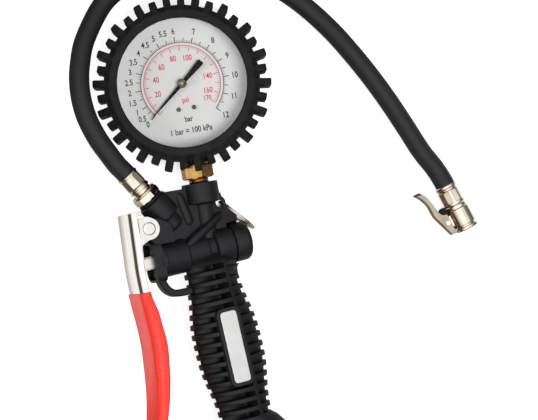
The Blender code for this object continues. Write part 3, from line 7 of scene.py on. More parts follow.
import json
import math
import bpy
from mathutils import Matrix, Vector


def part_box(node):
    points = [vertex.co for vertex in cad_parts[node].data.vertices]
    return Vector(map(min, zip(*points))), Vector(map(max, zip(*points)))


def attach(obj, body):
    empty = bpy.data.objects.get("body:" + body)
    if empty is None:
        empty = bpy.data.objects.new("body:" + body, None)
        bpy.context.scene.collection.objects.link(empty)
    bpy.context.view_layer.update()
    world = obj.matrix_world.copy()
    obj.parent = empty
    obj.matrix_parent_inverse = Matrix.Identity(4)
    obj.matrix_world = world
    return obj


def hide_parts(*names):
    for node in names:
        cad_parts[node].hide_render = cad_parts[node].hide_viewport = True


bl_info = {
    "name": "Tyre Inflator Looks",
    "version": (1, 0, 0),
    "blender": (4, 5, 0),
    "location": "3D View > Sidebar > Inflator",
    "description": "Dresses the packed tyre inflator with its surfaces, finishes and stage",
    "category": "Object",
}

import bmesh
import bpy
import numpy as np
from mathutils import Matrix

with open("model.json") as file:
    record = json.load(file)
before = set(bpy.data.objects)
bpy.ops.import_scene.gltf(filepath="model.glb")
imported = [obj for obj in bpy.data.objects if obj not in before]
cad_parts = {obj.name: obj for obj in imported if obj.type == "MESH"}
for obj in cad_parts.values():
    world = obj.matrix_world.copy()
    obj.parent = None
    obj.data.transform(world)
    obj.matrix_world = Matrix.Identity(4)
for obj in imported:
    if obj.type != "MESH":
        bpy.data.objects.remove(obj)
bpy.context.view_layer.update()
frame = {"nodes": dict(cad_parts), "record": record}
JOINTS = {joint["name"]: joint for joint in frame["record"]["behaviour"]["joints"]}
HOME = "inflator_body"
FIT = 0.0003

# Gauge: what the frame's boxes do not say
GLASS_R, RIM, CASE_TOP, LIP_T, BEZEL_T, LENS_T = 0.0365, 0.0040, 0.0336, 0.0030, 0.0008, 0.0017
CASE_R = GLASS_R + RIM
BOOT_WALL, BOOT_BACK = 0.0034, 0.0027
BOOT_DEPTH = CASE_TOP + FIT + BEZEL_T + FIT + LIP_T
RIB_PHASE = math.radians(-8.7)
DIAL_FACE = 0.0250
PRINT_Z = DIAL_FACE + 0.00006
BAR_LINE_R, BAR_NUMBER_R, PSI_LINE_R, PSI_NUMBER_R = 0.0235, 0.0302, 0.0218, 0.0150
STEM_Z, HEX_TOP, HEX_LENGTH, HEX_R, THREAD_R, THREAD_SHOWS = 0.0194, 0.0462, 0.0084, 0.0094, 0.0054, 0.0024
BOSS_TOP = HEX_TOP + HEX_LENGTH + THREAD_SHOWS
THREAD_PITCH, NECK_R = 0.0012, 0.0042

# Grip: places on the valve's axes
PIN_X, PIN_Y, LEVER_HALF_W, LEVER_T, LEVER_END, EAR_R = -0.0340, 0.0192, 0.0115, 0.0014, -0.0984, 0.0059
SLEEVE_MOUTH, SLEEVE_FOLD = -0.0150, -0.0210
HOOD_X, HOOD_END, HOOD_HALF_W, HOOD_HALF_H = -0.0342, -0.0286, 0.0097, 0.0116
BARREL_R, BARREL_END, WAIST_R, REAR_R, REAR_END = 0.0104, -0.0126, 0.0088, 0.0103, 0.0155
CAP_R, CAP_END = 0.0112, 0.0261
PLUNGER_R, PLUNGER_FLAT, PLUNGER_FACE, PLUNGER_DOME_R = 0.0044, 0.0037, -0.0443, 0.0080
HANDLE_X, HANDLE_LEAN, WAIST_HALF_W, WAIST_HALF_T = 0.0006, 0.017, 0.0155, 0.0126
SWELL_W, SWELL_T, SWELL_Y, SWELL_REACH = 0.0046, 0.0019, -0.0560, 0.0260
FIN_START, FIN_PITCH, FIN_SLOT, FIN_COUNT = -0.0088, 0.00575, 0.0029, 16
SPINE_OUT = 0.0051
FOOT_Y = FIN_START - (FIN_COUNT - 1) * FIN_PITCH - FIN_SLOT - 0.0005
FOOT_L, FOOT_REACH, FOOT_HALF_T = 0.0225, 0.0385, 0.0110
FOOT_END = FOOT_Y - FOOT_L
PLATE_X, PLATE_Y, PLATE_HALF_W, PLATE_HALF_L, PLATE_TOP = -0.0009, -0.0566, 0.0049, 0.0204, 0.0153
INLET_X = 0.0016
PORT_X, PORT_Y, PORT_ANGLE = -0.0252, 0.0339, math.radians(121.7)
EYE_X, EYE_Y, EYE_Z, EYE_T, EYE_R = 0.0136, 0.0244, 0.0017, 0.0030, 0.0023
RING_R, RING_ANGLE, RING_TILT, RING_WIRE_R = 0.0123, math.radians(-48.0), math.radians(14.0), 0.00058

# Hose and chuck
HOSE_R, HOSE_OUT = 0.00575, 0.0210
CHUCK_AT, CHUCK_HEADING = (0.1402, -0.0826, 0.0070), math.radians(-72.2)
CHUCK_MOUTH, CHUCK_PIN_S, CHUCK_PIN_OUT = 0.0279, 0.0195, 0.0089
HOSE_ROUTE = [(-0.0436, -0.0400, 0.0354), (-0.0478, -0.0320, 0.0370), (-0.0520, -0.0232, 0.0381),
              (-0.0556, -0.0120, 0.0384), (-0.0571, -0.0017, 0.0376), (-0.0569, 0.0090, 0.0356),
              (-0.0549, 0.0197, 0.0326), (-0.0500, 0.0334, 0.0276), (-0.0379, 0.0514, 0.0190),
              (-0.0250, 0.0608, 0.0152), (-0.0090, 0.0673, 0.0118), (0.0060, 0.0691, 0.0094),
              (0.0212, 0.0678, 0.0076), (0.0370, 0.0638, 0.0065), (0.0508, 0.0560, 0.0060),
              (0.0655, 0.0451, 0.0059), (0.0780, 0.0326, 0.0059), (0.0900, 0.0173, 0.0059),
              (0.0997, 0.0020, 0.0059), (0.1083, -0.0133, 0.0059), (0.1162, -0.0292, 0.0059),
              (0.1232, -0.0450, 0.0060), (0.1298, -0.0604, 0.0062), (0.1357, -0.0712, 0.0066)]

# Lines that the two bent channels follow: the back of the web, and the flanges' free edge
LEVER_BACK = [(-0.0433, 0.0296), (-0.0444, 0.0180), (-0.0454, 0.0070), (-0.0463, -0.0030), (-0.0466, -0.0160),
              (-0.0463, -0.0255), (-0.0460, -0.0337), (-0.0460, -0.0417), (-0.0465, -0.0496),
              (-0.0472, -0.0555), (-0.0481, -0.0630), (-0.0493, -0.0708), (-0.0508, -0.0784),
              (-0.0527, -0.0860), (-0.0552, -0.0940), (-0.0568, -0.0985)]
LEVER_EDGE = [(-0.0402, 0.0296), (-0.0398, 0.0200), (-0.0398, 0.0130), (-0.0414, 0.0010), (-0.0419, -0.0163),
              (-0.0411, -0.0220), (-0.0400, -0.0276), (-0.0396, -0.0356), (-0.0392, -0.0436),
              (-0.0399, -0.0513), (-0.0408, -0.0567), (-0.0421, -0.0643), (-0.0440, -0.0718),
              (-0.0461, -0.0791), (-0.0488, -0.0863), (-0.0522, -0.0935), (-0.0550, -0.0990)]
CLIP_BACK = [(0.0104, 0.0268), (0.0128, 0.0195), (0.0149, 0.0126), (0.0152, 0.0057), (0.0171, 0.0004),
             (0.0195, -0.0031)]
CLIP_EDGE = [(0.0078, 0.0268), (0.0072, 0.0232), (0.0072, 0.0154), (0.0098, 0.0138), (0.0114, 0.0100),
             (0.0121, 0.0044), (0.0133, 0.0004), (0.0158, -0.0036)]

# Stage: lamps, the card that mirrors see round the object with a painted shadow under the object, and the
# camera
KEY_PLACE, KEY_SIZE = (0.38, -0.26, 1.08), 0.55
SIDE_PLACE, SIDE_SIZE, SIDE_SHARE = (-0.90, -0.05, 0.45), 0.40, 0.42
AIM = (0.03, -0.07, 0.0)
CARD_PLACE, CARD_R, CARD_END, PAINTED_SHADOW_HALF_W, PAINTED_SHADOW_END = (0.035, -0.085), 0.128, 0.150, 0.099, 0.108
CAMERA_PLACE, CAMERA_BACK = (-0.00343, -0.07215, 1.18530), (-0.03440, 0.00588, 0.99939)
CAMERA_ROLL, CAMERA_LENS, CAMERA_FILM = math.radians(9.7), 136.72, 36


# --- Places ---------------------------------------------------------------------------------------------
def axes(origin, x, z):
    """4x4 place from an origin and two square directions; Y completes the right-handed set."""
    place = np.eye(4)
    place[:3, 0], place[:3, 1], place[:3, 2], place[:3, 3] = x, np.cross(z, x), z, origin
    return place


def point(place, x, y, z):
    """World position of a point that is given in a place's own axes."""
    return place[:3, :3] @ (x, y, z) + place[:3, 3]


ALONG = np.array(JOINTS["valve_slide"]["axis"], float)
FRONT = np.array(JOINTS["trigger_squeeze"]["axis"], float)
UP = np.cross(FRONT, ALONG)
GRIP = axes(np.array(JOINTS["trigger_squeeze"]["pos_m"]) - PIN_X * ALONG - PIN_Y * UP, ALONG, FRONT)
VALVE = axes(GRIP[:3, 3], -FRONT, ALONG)
INLET = axes(point(GRIP, INLET_X, 0, 0), ALONG, -UP)
PIN = axes(point(GRIP, PIN_X, PIN_Y, 0), ALONG, FRONT)
PORT_WAY = math.cos(PORT_ANGLE) * ALONG + math.sin(PORT_ANGLE) * UP
PORT = axes(point(GRIP, PORT_X, PORT_Y, 0), np.cross(FRONT, PORT_WAY), PORT_WAY)
STEM = axes((0, 0, STEM_Z), (1, 0, 0), (0, -1, 0))
HEADING = np.array([math.cos(CHUCK_HEADING), math.sin(CHUCK_HEADING), 0.0])
CLIP_SIDE = np.array([HEADING[1], -HEADING[0], 0.0])
CHUCK = axes(CHUCK_AT, CLIP_SIDE, HEADING)
CHUCK_SIDE = np.eye(4)
CHUCK_SIDE[:3, 0], CHUCK_SIDE[:3, 1], CHUCK_SIDE[:3, 3] = CLIP_SIDE, HEADING, CHUCK_AT


# --- Shapes ---------------------------------------------------------------------------------------------
def rounded(points, radius=0.0003, closed=True, steps=4):
    """Each corner cut back by its radius, then bridged by a quadratic curve that the corner steers."""
    corners = np.asarray(points, float)
    radius = np.broadcast_to(radius, len(corners)).astype(float)
    before, after = np.roll(corners, 1, 0) - corners, np.roll(corners, -1, 0) - corners
    near, far = np.linalg.norm(before, axis=1), np.linalg.norm(after, axis=1)
    cut = np.minimum(radius, 0.45 * np.minimum(near, far))
    if not closed:
        cut[[0, -1]] = 0
    t = np.linspace(0, 1, steps + 1)[None, :, None]
    start = (corners + before * (cut / near)[:, None])[:, None]
    end = (corners + after * (cut / far)[:, None])[:, None]
    return ((1 - t) ** 2 * start + 2 * t * (1 - t) * corners[:, None] + t * t * end).reshape(-1, 2)


def arc(x, y, radius, start, end, steps=12):
    """Points on a circle between two angles in degrees."""
    a = np.radians(np.linspace(start, end, steps + 1))
    return [tuple(p) for p in np.stack([x + radius * np.cos(a), y + radius * np.sin(a)], -1)]


def flowing(points, count):
    """Catmull-Rom curve through points, then count points spaced evenly along it."""
    knots = np.asarray(points, float)
    knots = np.vstack([2 * knots[0] - knots[1], knots, 2 * knots[-1] - knots[-2]])
    p0, p1, p2, p3 = (knots[i:len(knots) - 3 + i, None] for i in range(4))
    t = np.linspace(0, 1, 24, endpoint=False)[None, :, None]
    dense = 0.5 * (2 * p1 + (p2 - p0) * t + (2 * p0 - 5 * p1 + 4 * p2 - p3) * t ** 2
                   + (3 * p1 - p0 - 3 * p2 + p3) * t ** 3)
    dense = np.vstack([dense.reshape(-1, knots.shape[1]), knots[-2]])
    walked = np.concatenate([[0], np.cumsum(np.linalg.norm(np.diff(dense, axis=0), axis=1))])
    at = np.linspace(0, walked[-1], count)
    return np.stack([np.interp(at, walked, axis) for axis in dense.T], -1)


def turned(profile, soft=0.0003, closed=False, steps=72):
    """Revolution: each softened (radius, height) of a profile swung round the axis in even steps."""
    r, h = rounded(profile, soft, closed).T[:, :, None]
    a = np.linspace(0, 2 * np.pi, steps, endpoint=False)
    return np.stack([r * np.cos(a), r * np.sin(a), np.broadcast_to(h, (len(h), steps))], -1)


def flatted(profile, sides, start=0.0, soft=0.0003, flat=None, steps=144):
    """Revolution whose radius is at most a polygon's: flat over the cosine of the angle off that flat."""
    r, h = rounded(profile, soft, False).T[:, :, None]
    a = np.linspace(0, 2 * np.pi, steps, endpoint=False)
    side = 2 * np.pi / sides
    off = (a - start) % side - side / 2
    r = np.minimum(r, flat / np.cos(off))
    return np.stack([r * np.cos(a), r * np.sin(a), np.broadcast_to(h, r.shape)], -1)


def nut(corner_r, low, high, start):
    """Hexagon nut profile: full corners in the middle, coned off to the flats at both faces."""
    flat = corner_r * math.cos(math.pi / 6)
    cone = (corner_r - flat) * 0.55
    profile = [(0, low), (flat * 0.97, low), (corner_r, low + cone), (corner_r, high - cone),
               (flat * 0.97, high), (0, high)]
    return flatted(profile, 6, start, 0.0001, flat)


def carried(outline, profile, soft=0.0004):
    """A closed outline carried through (outset, height) pairs; outset moves each point along its normal."""
    path = np.asarray(outline, float)
    way = np.roll(path, -1, 0) - np.roll(path, 1, 0)
    way /= np.linalg.norm(way, axis=1)[:, None]
    area = np.sum(path[:, 0] * np.roll(path[:, 1], -1) - path[:, 1] * np.roll(path[:, 0], -1))
    normal = np.stack([way[:, 1], -way[:, 0]], -1) * np.sign(area)
    outset, height = rounded(profile, soft, False).T
    rim = path[None] + normal[None] * outset[:, None, None]
    return np.concatenate([rim, np.broadcast_to(height[:, None, None], (*rim.shape[:2], 1))], -1)


def slab(outline, low, high, corner=0.0008, edge=0.0004):
    """A plate: an outline with softened corners between two heights, with softened edges."""
    return carried(rounded(outline, corner), [(-2 * edge, low), (0, low), (0, high), (-2 * edge, high)], edge)


def swept(path, section):
    """Section points (n, z) carried along a flat path: n to the left of the run, at height z."""
    path = np.asarray(path, float)
    way = np.gradient(path, axis=0)
    way /= np.linalg.norm(way, axis=1)[:, None]
    normal = np.stack([-way[:, 1], way[:, 0]], -1)
    n, z = np.asarray(section).T
    flat = path[:, None] + normal[:, None] * n[None, :, None]
    return np.concatenate([flat, np.broadcast_to(z[None, :, None], (*flat.shape[:2], 1))], -1)


def piped(path, radius, steps=20, side=None):
    """Round tube: a circle square to the run at each point, begun at side or level with the ground."""
    way = np.gradient(path, axis=0)
    way /= np.linalg.norm(way, axis=1)[:, None]
    if side is None:
        side = np.cross(way, (0, 0, 1))
        side /= np.linalg.norm(side, axis=1)[:, None]
    side = np.broadcast_to(side, way.shape)
    rise = np.cross(side, way)
    a = np.linspace(0, 2 * np.pi, steps, endpoint=False)[None, :, None]
    radius = np.broadcast_to(radius, len(path))[:, None, None]
    return path[:, None] + radius * (np.cos(a) * side[:, None] + np.sin(a) * rise[:, None])


def beside(line, y):
    """x of a flowing line that runs down in y, read at stations y."""
    curve = flowing(line, 200)[::-1]
    return np.interp(y, curve[:, 1], curve[:, 0])


def channel(y, back, edge, half_w, wall, bend, tight, tip=-1.0):
    """Pressed U section at each station y: a web at the back line, two flanges out to the edge line.

    The section is drawn once at a nominal size, and its far points then shift by the true depth and half
    width, so the bends keep their radius. Beyond y = tip the bends are drawn in to suit shallow flanges.
    """
    size = 0.02
    section = rounded([(size, size), (0, size), (0, -size), (size, -size), (size, wall - size),
                       (wall, wall - size), (wall, size - wall), (size, size - wall)],
                      [wall * 0.3, bend, tight, wall * 0.3, wall * 0.3, tight * 0.4, bend - wall, wall * 0.3])
    deep, side = section[:, 0] > size / 2, np.sign(section[:, 1])
    a, b = section[:, 0] - size * deep, section[:, 1] - size * side
    x0, x1 = beside(back, y)[:, None], beside(edge, y)[:, None]
    depth = np.abs(x1 - x0)
    drawn_in = np.where(y[:, None] < tip, np.minimum(1, 0.8 * depth / bend), 1)
    x = x0 + np.sign(x1 - x0) * (a * np.where(deep, 1, drawn_in) + deep * depth)
    z = b + side * np.broadcast_to(half_w, len(y))[:, None]
    return np.stack([x, np.broadcast_to(y[:, None], x.shape), z], -1)


def skin(name, grid, body, material, place=None, replaces=(), loop=False, sharp=38):
    """A piece from a grid: columns close up; rows meet in a loop, or else end in flat faces or poles."""
    rows, columns = grid.shape[:2]
    points = grid.reshape(-1, 3)
    if place is not None:
        points = points @ place[:3, :3].T + place[:3, 3]
    row, column = np.meshgrid(np.arange(rows if loop else rows - 1), np.arange(columns), indexing="ij")
    ahead, across = (row + 1) % rows, (column + 1) % columns
    faces = np.stack([row * columns + column, row * columns + across, ahead * columns + across,
                      ahead * columns + column], -1).reshape(-1, 4).tolist()
    if not loop:
        faces += [list(range(columns))[::-1], list(range((rows - 1) * columns, rows * columns))]
    mesh = bpy.data.meshes.new(name)
    mesh.from_pydata(points.tolist(), [], faces)
    return dress(name, mesh, body, material, replaces, sharp)


def dress(name, mesh, body, material, replaces=(), sharp=38):
    """Merge a mesh's doubles, turn its faces outwards, and put it on a body with its finish."""
    bm = bmesh.new()
    bm.from_mesh(mesh)
    bmesh.ops.remove_doubles(bm, verts=bm.verts, dist=2e-7)
    bmesh.ops.dissolve_degenerate(bm, edges=bm.edges, dist=1e-7)
    bmesh.ops.recalc_face_normals(bm, faces=bm.faces)
    bm.to_mesh(mesh)
    bm.free()
    mesh.shade_smooth()
    mesh.set_sharp_from_angle(angle=math.radians(sharp))
    mesh.materials.append(material)
    piece = bpy.data.objects.new(name, mesh)
    bpy.context.scene.collection.objects.link(piece)
    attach(piece, body)
    if replaces:
        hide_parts(*replaces)
    return piece


# --- Finishes -------------------------------------------------------------------------------------------
def srgb(colour):
    """Three numbers from 0 to 1, from #RRGGBB or from numbers already."""
    if isinstance(colour, str):
        return tuple(int(colour[i:i + 2], 16) / 255 for i in (1, 3, 5))
    return tuple(colour)


def linear(colour):
    """sRGB to linear light: a power of 2.4 above the toe, a straight line in it."""
    return [c / 12.92 if c <= 0.04045 else ((c + 0.055) / 1.055) ** 2.4 for c in srgb(colour)]


def lifted(colour, factor, lift=0.0):
    """A colour made lighter: times a factor, plus a lift, and never past white."""
    return [min(1, c * factor + lift) for c in srgb(colour)]


def node(tree, kind, inputs=(), **settings):
    """One node with its settings, and its inputs as values or links."""
    made = tree.nodes.new(kind)
    for key, value in settings.items():
        setattr(made, key, value)
    for key, value in dict(inputs).items():
        if isinstance(value, bpy.types.NodeSocket):
            tree.links.new(value, made.inputs[key])
        else:
            made.inputs[key].default_value = value
    return made


def graded(tree, value, stops):
    """Colour ramp over (position, colour) stops in order."""
    ramp = node(tree, "ShaderNodeValToRGB", {"Fac": value})
    elements = ramp.color_ramp.elements
    elements.remove(elements[-1])
    for position, colour in stops:
        element = elements[0] if position == stops[0][0] else elements.new(position)
        element.position, element.color = position, (*colour, 1.0)
    return ramp.outputs["Color"]


def finish(name, colour, roughness, metallic=0.0, **sockets):
    """A Principled material; what is the same all over is set on its sockets."""
    material = bpy.data.materials.new(name)
    material.use_nodes = True
    tree = material.node_tree
    shader = tree.nodes["Principled BSDF"]
    values = {"Base Color": (*linear(colour), 1.0), "Roughness": roughness, "Metallic": metallic}
    values.update({key.replace("_", " "): value for key, value in sockets.items()})
    for key, value in values.items():
        shader.inputs[key].default_value = value
    return material, tree, shader


def mottled(tree, shader, colours, size, stretch=(1, 1, 1)):
    """Base colour that drifts between two shades over patches of a size, drawn out where stretch is low."""
    place = node(tree, "ShaderNodeTexCoord").outputs["Object"]
    place = node(tree, "ShaderNodeMapping", {"Vector": place, "Scale": stretch}).outputs["Vector"]
    cloud = node(tree, "ShaderNodeTexNoise", {"Vector": place, "Scale": 1 / size, "Detail": 3.0})
    shade = graded(tree, cloud.outputs["Fac"], list(zip((0.35, 0.65), map(linear, colours))))
    tree.links.new(shade, shader.inputs["Base Color"])


def grained(tree, shader, size, depth, roughness, stretch=(1, 1, 1)):
    """Surface grain of a size and depth, with roughness that drifts over patches eight times as wide."""
    place = node(tree, "ShaderNodeTexCoord").outputs["Object"]
    place = node(tree, "ShaderNodeMapping", {"Vector": place, "Scale": stretch}).outputs["Vector"]
    grain = node(tree, "ShaderNodeTexNoise", {"Vector": place, "Scale": 1 / size, "Detail": 2.0})
    bump = node(tree, "ShaderNodeBump", {"Height": grain.outputs["Fac"], "Distance": depth, "Strength": 1.0})
    tree.links.new(bump.outputs["Normal"], shader.inputs["Normal"])
    patches = node(tree, "ShaderNodeTexNoise", {"Vector": place, "Scale": 0.12 / size, "Detail": 2.0})
    spread = node(tree, "ShaderNodeMapRange",
                  {"Value": patches.outputs["Fac"], "From Min": 0.3, "From Max": 0.7,
                                               "To Min": roughness[0], "To Max": roughness[1]})
    tree.links.new(spread.outputs["Result"], shader.inputs["Roughness"])


def moulded_nylon(colour):
    """Glass-filled nylon, injection moulded: a fine spark-eroded grain that scatters a soft sheen."""
    material, tree, shader = finish("moulded_nylon", colour, 0.40, IOR=1.53, Specular_IOR_Level=0.26)
    mottled(tree, shader, (colour, lifted(colour, 1.18)), 0.012)
    grained(tree, shader, 0.0004, 0.00001, (0.32, 0.42))
    return material


def moulded_rubber(colour):
    """Nitrile rubber from a mould: nearly matt, paler where dust and talc have rubbed in."""
    material, tree, shader = finish("moulded_rubber", colour, 0.58, IOR=1.52, Specular_IOR_Level=0.16)
    mottled(tree, shader, (colour, lifted(colour, 1.6)), 0.006)
    grained(tree, shader, 0.0007, 0.00005, (0.46, 0.66))
    return material


def extruded_rubber(colour):
    """Rubber hose cover, drawn through a die: smooth satin with faint long drag marks."""
    material, tree, shader = finish("extruded_rubber", colour, 0.45, IOR=1.52, Specular_IOR_Level=0.30)
    run = node(tree, "ShaderNodeAttribute", attribute_name="run", attribute_type="GEOMETRY")
    marks = node(tree, "ShaderNodeTexNoise", {"Vector": run.outputs["Vector"], "Scale": 9.0, "Detail": 3.0})
    shade = graded(tree, marks.outputs["Fac"], [(0, linear(colour)), (1, linear(lifted(colour, 1.25)))])
    tree.links.new(shade, shader.inputs["Base Color"])
    spread = node(tree, "ShaderNodeMapRange", {"Value": marks.outputs["Fac"], "To Min": 0.36, "To Max": 0.56})
    tree.links.new(spread.outputs["Result"], shader.inputs["Roughness"])
    bump = node(tree, "ShaderNodeBump", {"Height": marks.outputs["Fac"], "Distance": 0.00006})
    tree.links.new(bump.outputs["Normal"], shader.inputs["Normal"])
    return material


def plated(name, colours, roughness, metallic=1.0, stretch=(1, 1, 1)):
    """Bright or satin plate over polished metal: faint hazy patches, drawn out along the polishing."""
    material, tree, shader = finish(name, colours[0], roughness[0], metallic)
    mottled(tree, shader, colours, 0.006 * min(stretch) ** 0.5, stretch=stretch)
    grained(tree, shader, 0.004, 0.00002, roughness)
    return material


def machined(name, colours, roughness):
    """Bare turned or drawn metal: tool marks too fine to show, drawn as bands under half a millimetre."""
    material, tree, shader = finish(name, colours[0], roughness[0], 1.0)
    mottled(tree, shader, colours, 0.004)
    grained(tree, shader, 0.0004, 0.000004, roughness, (1, 6, 1))
    return material


def dipped_pvc(colour):
    """Plasticised PVC, dipped: even colour under a soft gloss, with faint streaks along the sleeve."""
    material, tree, shader = finish("dipped_pvc", colour, 0.30, IOR=1.54, Specular_IOR_Level=0.55)
    mottled(tree, shader, (colour, lifted(colour, 1.06)), 0.010, stretch=(1, 0.25, 1))
    grained(tree, shader, 0.002, 0.00004, (0.24, 0.34))
    return material


def enamel(name, colour, roughness=0.42, level=0.5):
    """Stoved enamel on sheet, or moulded ABS: flat colour with a fine orange peel."""
    material, tree, shader = finish(name, colour, roughness, Specular_IOR_Level=level)
    mottled(tree, shader, (colour, lifted(colour, 1.02)), 0.02)
    grained(tree, shader, 0.0012, 0.00001, (roughness - 0.05, roughness + 0.05))
    return material


def ink(name, colour):
    """Screen-printed ink: slightly uneven cover."""
    material, tree, shader = finish(name, colour, 0.5)
    mottled(tree, shader, (colour, lifted(colour, 1.15, 0.02)), 0.002)
    return material


def window_glass():
    """Clear acrylic, moulded and polished: almost nothing but its gloss."""
    material, tree, shader = finish("window_glass", "#1A1A1A", 0.04, IOR=1.5, Alpha=0.06)
    grained(tree, shader, 0.02, 0.00001, (0.03, 0.06))
    return material


def satin_foil(colour):
    """Aluminium foil label: satin, brushed along its length."""
    material, tree, shader = finish("satin_foil", colour, 0.38, 0.3)
    mottled(tree, shader, (colour, lifted(colour, 1.05)), 0.008)
    grained(tree, shader, 0.0004, 0.00001, (0.30, 0.42), (8, 1, 1))
    return material


FINISHES = {}


def finishes(settings):
    """Every finish once, from the sidebar's colours."""
    if not FINISHES:
        FINISHES.update(
            nylon=moulded_nylon(settings.nylon),
            rubber=moulded_rubber(settings.rubber),
            hose=extruded_rubber(settings.hose),
            red=dipped_pvc(settings.sleeve),
            chrome=plated("chrome_plate", ("#EDEBE6", "#FAF7F2"), (0.05, 0.11), stretch=(1, 0.06, 1)),
            nickel=plated("nickel_plate", ("#E0D4C2", "#F0E6D6"), (0.07, 0.15)),
            brass=machined("turned_brass", ("#C29957", "#DBB573"), (0.16, 0.28)),
            # Satin nickel for the plunger: a real satin finish, with its colour lifted near white and its
            # metal almost off as painted light, so the button reads bright in the shade under the lever
            satin=plated("satin_nickel_painted_bright", ("#FAF2E6", "#FFF7ED"), (0.36, 0.44), 0.05),
            spring=plated("plated_spring_steel", ("#998C7D", "#B3A694"), (0.22, 0.32)),
            steel=machined("drawn_steel", ("#99999C", "#B3B3B5"), (0.25, 0.38)),
            dial=enamel("dial_enamel", "#E8E8E7"),
            white=enamel("white_abs", "#CCCFCF", 0.5),
            black=enamel("pointer_enamel", "#0B0B0B", 0.45, 0.15),
            black_ink=ink("black_ink", "#0D0D0F"),
            hub=machined("dark_brass", ("#665942", "#948566"), (0.25, 0.40)),
            red_ink=ink("red_ink", "#D63D4D"),
            glass=window_glass(),
            foil=satin_foil("#D1D1D0"),
            bronze=machined("phosphor_bronze", ("#5C4A40", "#705C4F"), (0.35, 0.45)))
    return FINISHES


# --- Gauge ----------------------------------------------------------------------------------------------
def gauge_boot(look, settings):
    """Cup whose profile blends from plain wall to rib tip by a weight: 1 across a rib, 0 between ribs."""
    inner = CASE_R + FIT
    outer = inner + BOOT_WALL
    top, hole = BOOT_DEPTH, HEX_R + 0.0009
    levels = (STEM_Z + hole, STEM_Z + hole - 0.0001, STEM_Z - hole + 0.0001, STEM_Z - hole)
    lip = [(0, BOOT_BACK), (inner, BOOT_BACK), (inner, top - LIP_T - 0.0001), (GLASS_R, top - LIP_T),
           (GLASS_R, top - 0.0004), (GLASS_R + 0.0010, top), (outer - 0.0034, top - 0.0003)]
    soft = [0, 0, 0, 0.0003, 0.0006, 0.0006, 0.0004, 0.0004, 0.0012, 0, 0, 0, 0, 0.0008, 0.0006, 0]

    def section(tip, shoulder, drop, fall, foot):
        """Profile whose wall stands at radius tip, between a shoulder at the top and a foot."""
        side = [(outer - shoulder, top - drop), (tip, top - fall), *((tip, z) for z in levels), (tip, foot),
                (outer - 0.0018, 0), (0, 0)]
        return rounded(lip + side, soft, False)[:, None]

    plain = section(outer, 0.0010, 0.0030, 0.0060, 0.0030)
    short_rib, long_rib = (section(outer + reach, 0.0008, 0.0022, 0.0048, 0.0034)
                           for reach in (settings.rib_short, settings.rib_long))
    across = np.array([-2.2, -1.4, -1.14, -1.07, -1.0, -0.9, -0.6, 0, 0.6, 0.9, 1.0, 1.07, 1.14, 1.4])
    weight = np.array([0, 0, 0, 0.5, 0.90, 0.985, 1, 1, 1, 0.985, 0.90, 0.5, 0, 0])
    ribs = np.arange(settings.rib_count)
    turn = RIB_PHASE + ribs[:, None] * (2 * np.pi / settings.rib_count)
    angle = (turn + across * (settings.rib_width / 2 / outer)).ravel()
    weight = np.tile(weight, len(ribs))[:, None]
    is_long = np.repeat(ribs % 2 == 0, len(across))[:, None]
    profile = plain * (1 - weight) + np.where(is_long, long_rib, short_rib) * weight
    r, z = profile[..., 0], profile[..., 1]
    # Flat notch in the wall over the stem's hexagon
    x, y = r * np.cos(angle), r * np.sin(angle)
    over_hex = (y < 0) & (np.abs(x) < hole - 0.0001) & (z <= levels[0] - 0.00005) & (z >= levels[3] + 0.00005)
    notch = (HEX_TOP - 0.0012) / np.maximum(np.abs(np.sin(angle)), 0.5)
    r = np.where(over_hex, np.minimum(r, notch), r)
    grid = np.stack([r * np.cos(angle), r * np.sin(angle), z], -1)
    skin("rubber_boot", grid, HOME, look["rubber"], replaces=["gauge_boot"], sharp=32)


def gauge_front(look):
    """Domed window, height falling as the square of the radius, over the white spacer ring."""
    inner = CASE_R - 0.0009 - FIT
    edge = inner - BEZEL_T - FIT
    r = np.linspace(0, edge, 14)
    dome = 0.0016 * (1 - (r / edge) ** 2)
    upper, lower = np.stack([r, CASE_TOP + dome], -1), np.stack([r, CASE_TOP - LENS_T + dome], -1)
    skin("domed_window", turned(np.vstack([upper, lower[::-1]]), 0.0001, steps=96), HOME, look["glass"],
         replaces=["gauge_lens"])
    low, high = DIAL_FACE + FIT, CASE_TOP - FIT - LENS_T - FIT
    ring = [(inner - 0.0012, low), (inner, low), (inner, high), (inner - 0.0012, high)]
    skin("spacer_ring", turned(ring, 0.0002, True, 96), HOME, look["white"], replaces=["lens_spacer"],
         loop=True)


def bar_angle(bar):
    """Degrees anticlockwise from the dial's right at a pressure; the first half bar is squeezed."""
    return np.interp(bar, [0, 0.5, 1, 12], [220.5, 212.2, 203.4, -45.0])


def psi_angle(psi):
    """Degrees anticlockwise from the dial's right at a psi pressure, on an even scale."""
    return 225.0 - 22.5 * np.asarray(psi) / 14.5


def dial_lines(name, ink_look, angles, inner, outer, width, ring):
    """Radial strokes as one quad each, and the arc they stand on as a strip of quads."""
    a = np.radians(np.asarray(angles, float))
    r0, r1, half = (np.broadcast_to(v, len(a)) for v in (inner, outer, np.asarray(width) / 2))
    way, square = np.stack([np.cos(a), np.sin(a)], -1), np.stack([-np.sin(a), np.cos(a)], -1)
    near, far, square = way * r0[:, None], way * r1[:, None], square * half[:, None]
    strokes = np.stack([near - square, far - square, far + square, near + square], 1)
    start, end, radius, line = ring
    b = np.radians(np.linspace(start, end, 145))
    rim = np.stack([np.cos(b), np.sin(b)], -1)
    low, high = rim * (radius - line / 2), rim * (radius + line / 2)
    quads = np.stack([low[:-1], high[:-1], high[1:], low[1:]], 1)
    flat = np.concatenate([strokes, quads]).reshape(-1, 2)
    points = np.column_stack([flat, np.full(len(flat), PRINT_Z)])
    mesh = bpy.data.meshes.new(name)
    mesh.from_pydata(points.tolist(), [], np.arange(len(flat)).reshape(-1, 4).tolist())
    piece = dress(name, mesh, HOME, ink_look)
    if piece.data.polygons[0].normal.z < 0:
        piece.data.flip_normals()


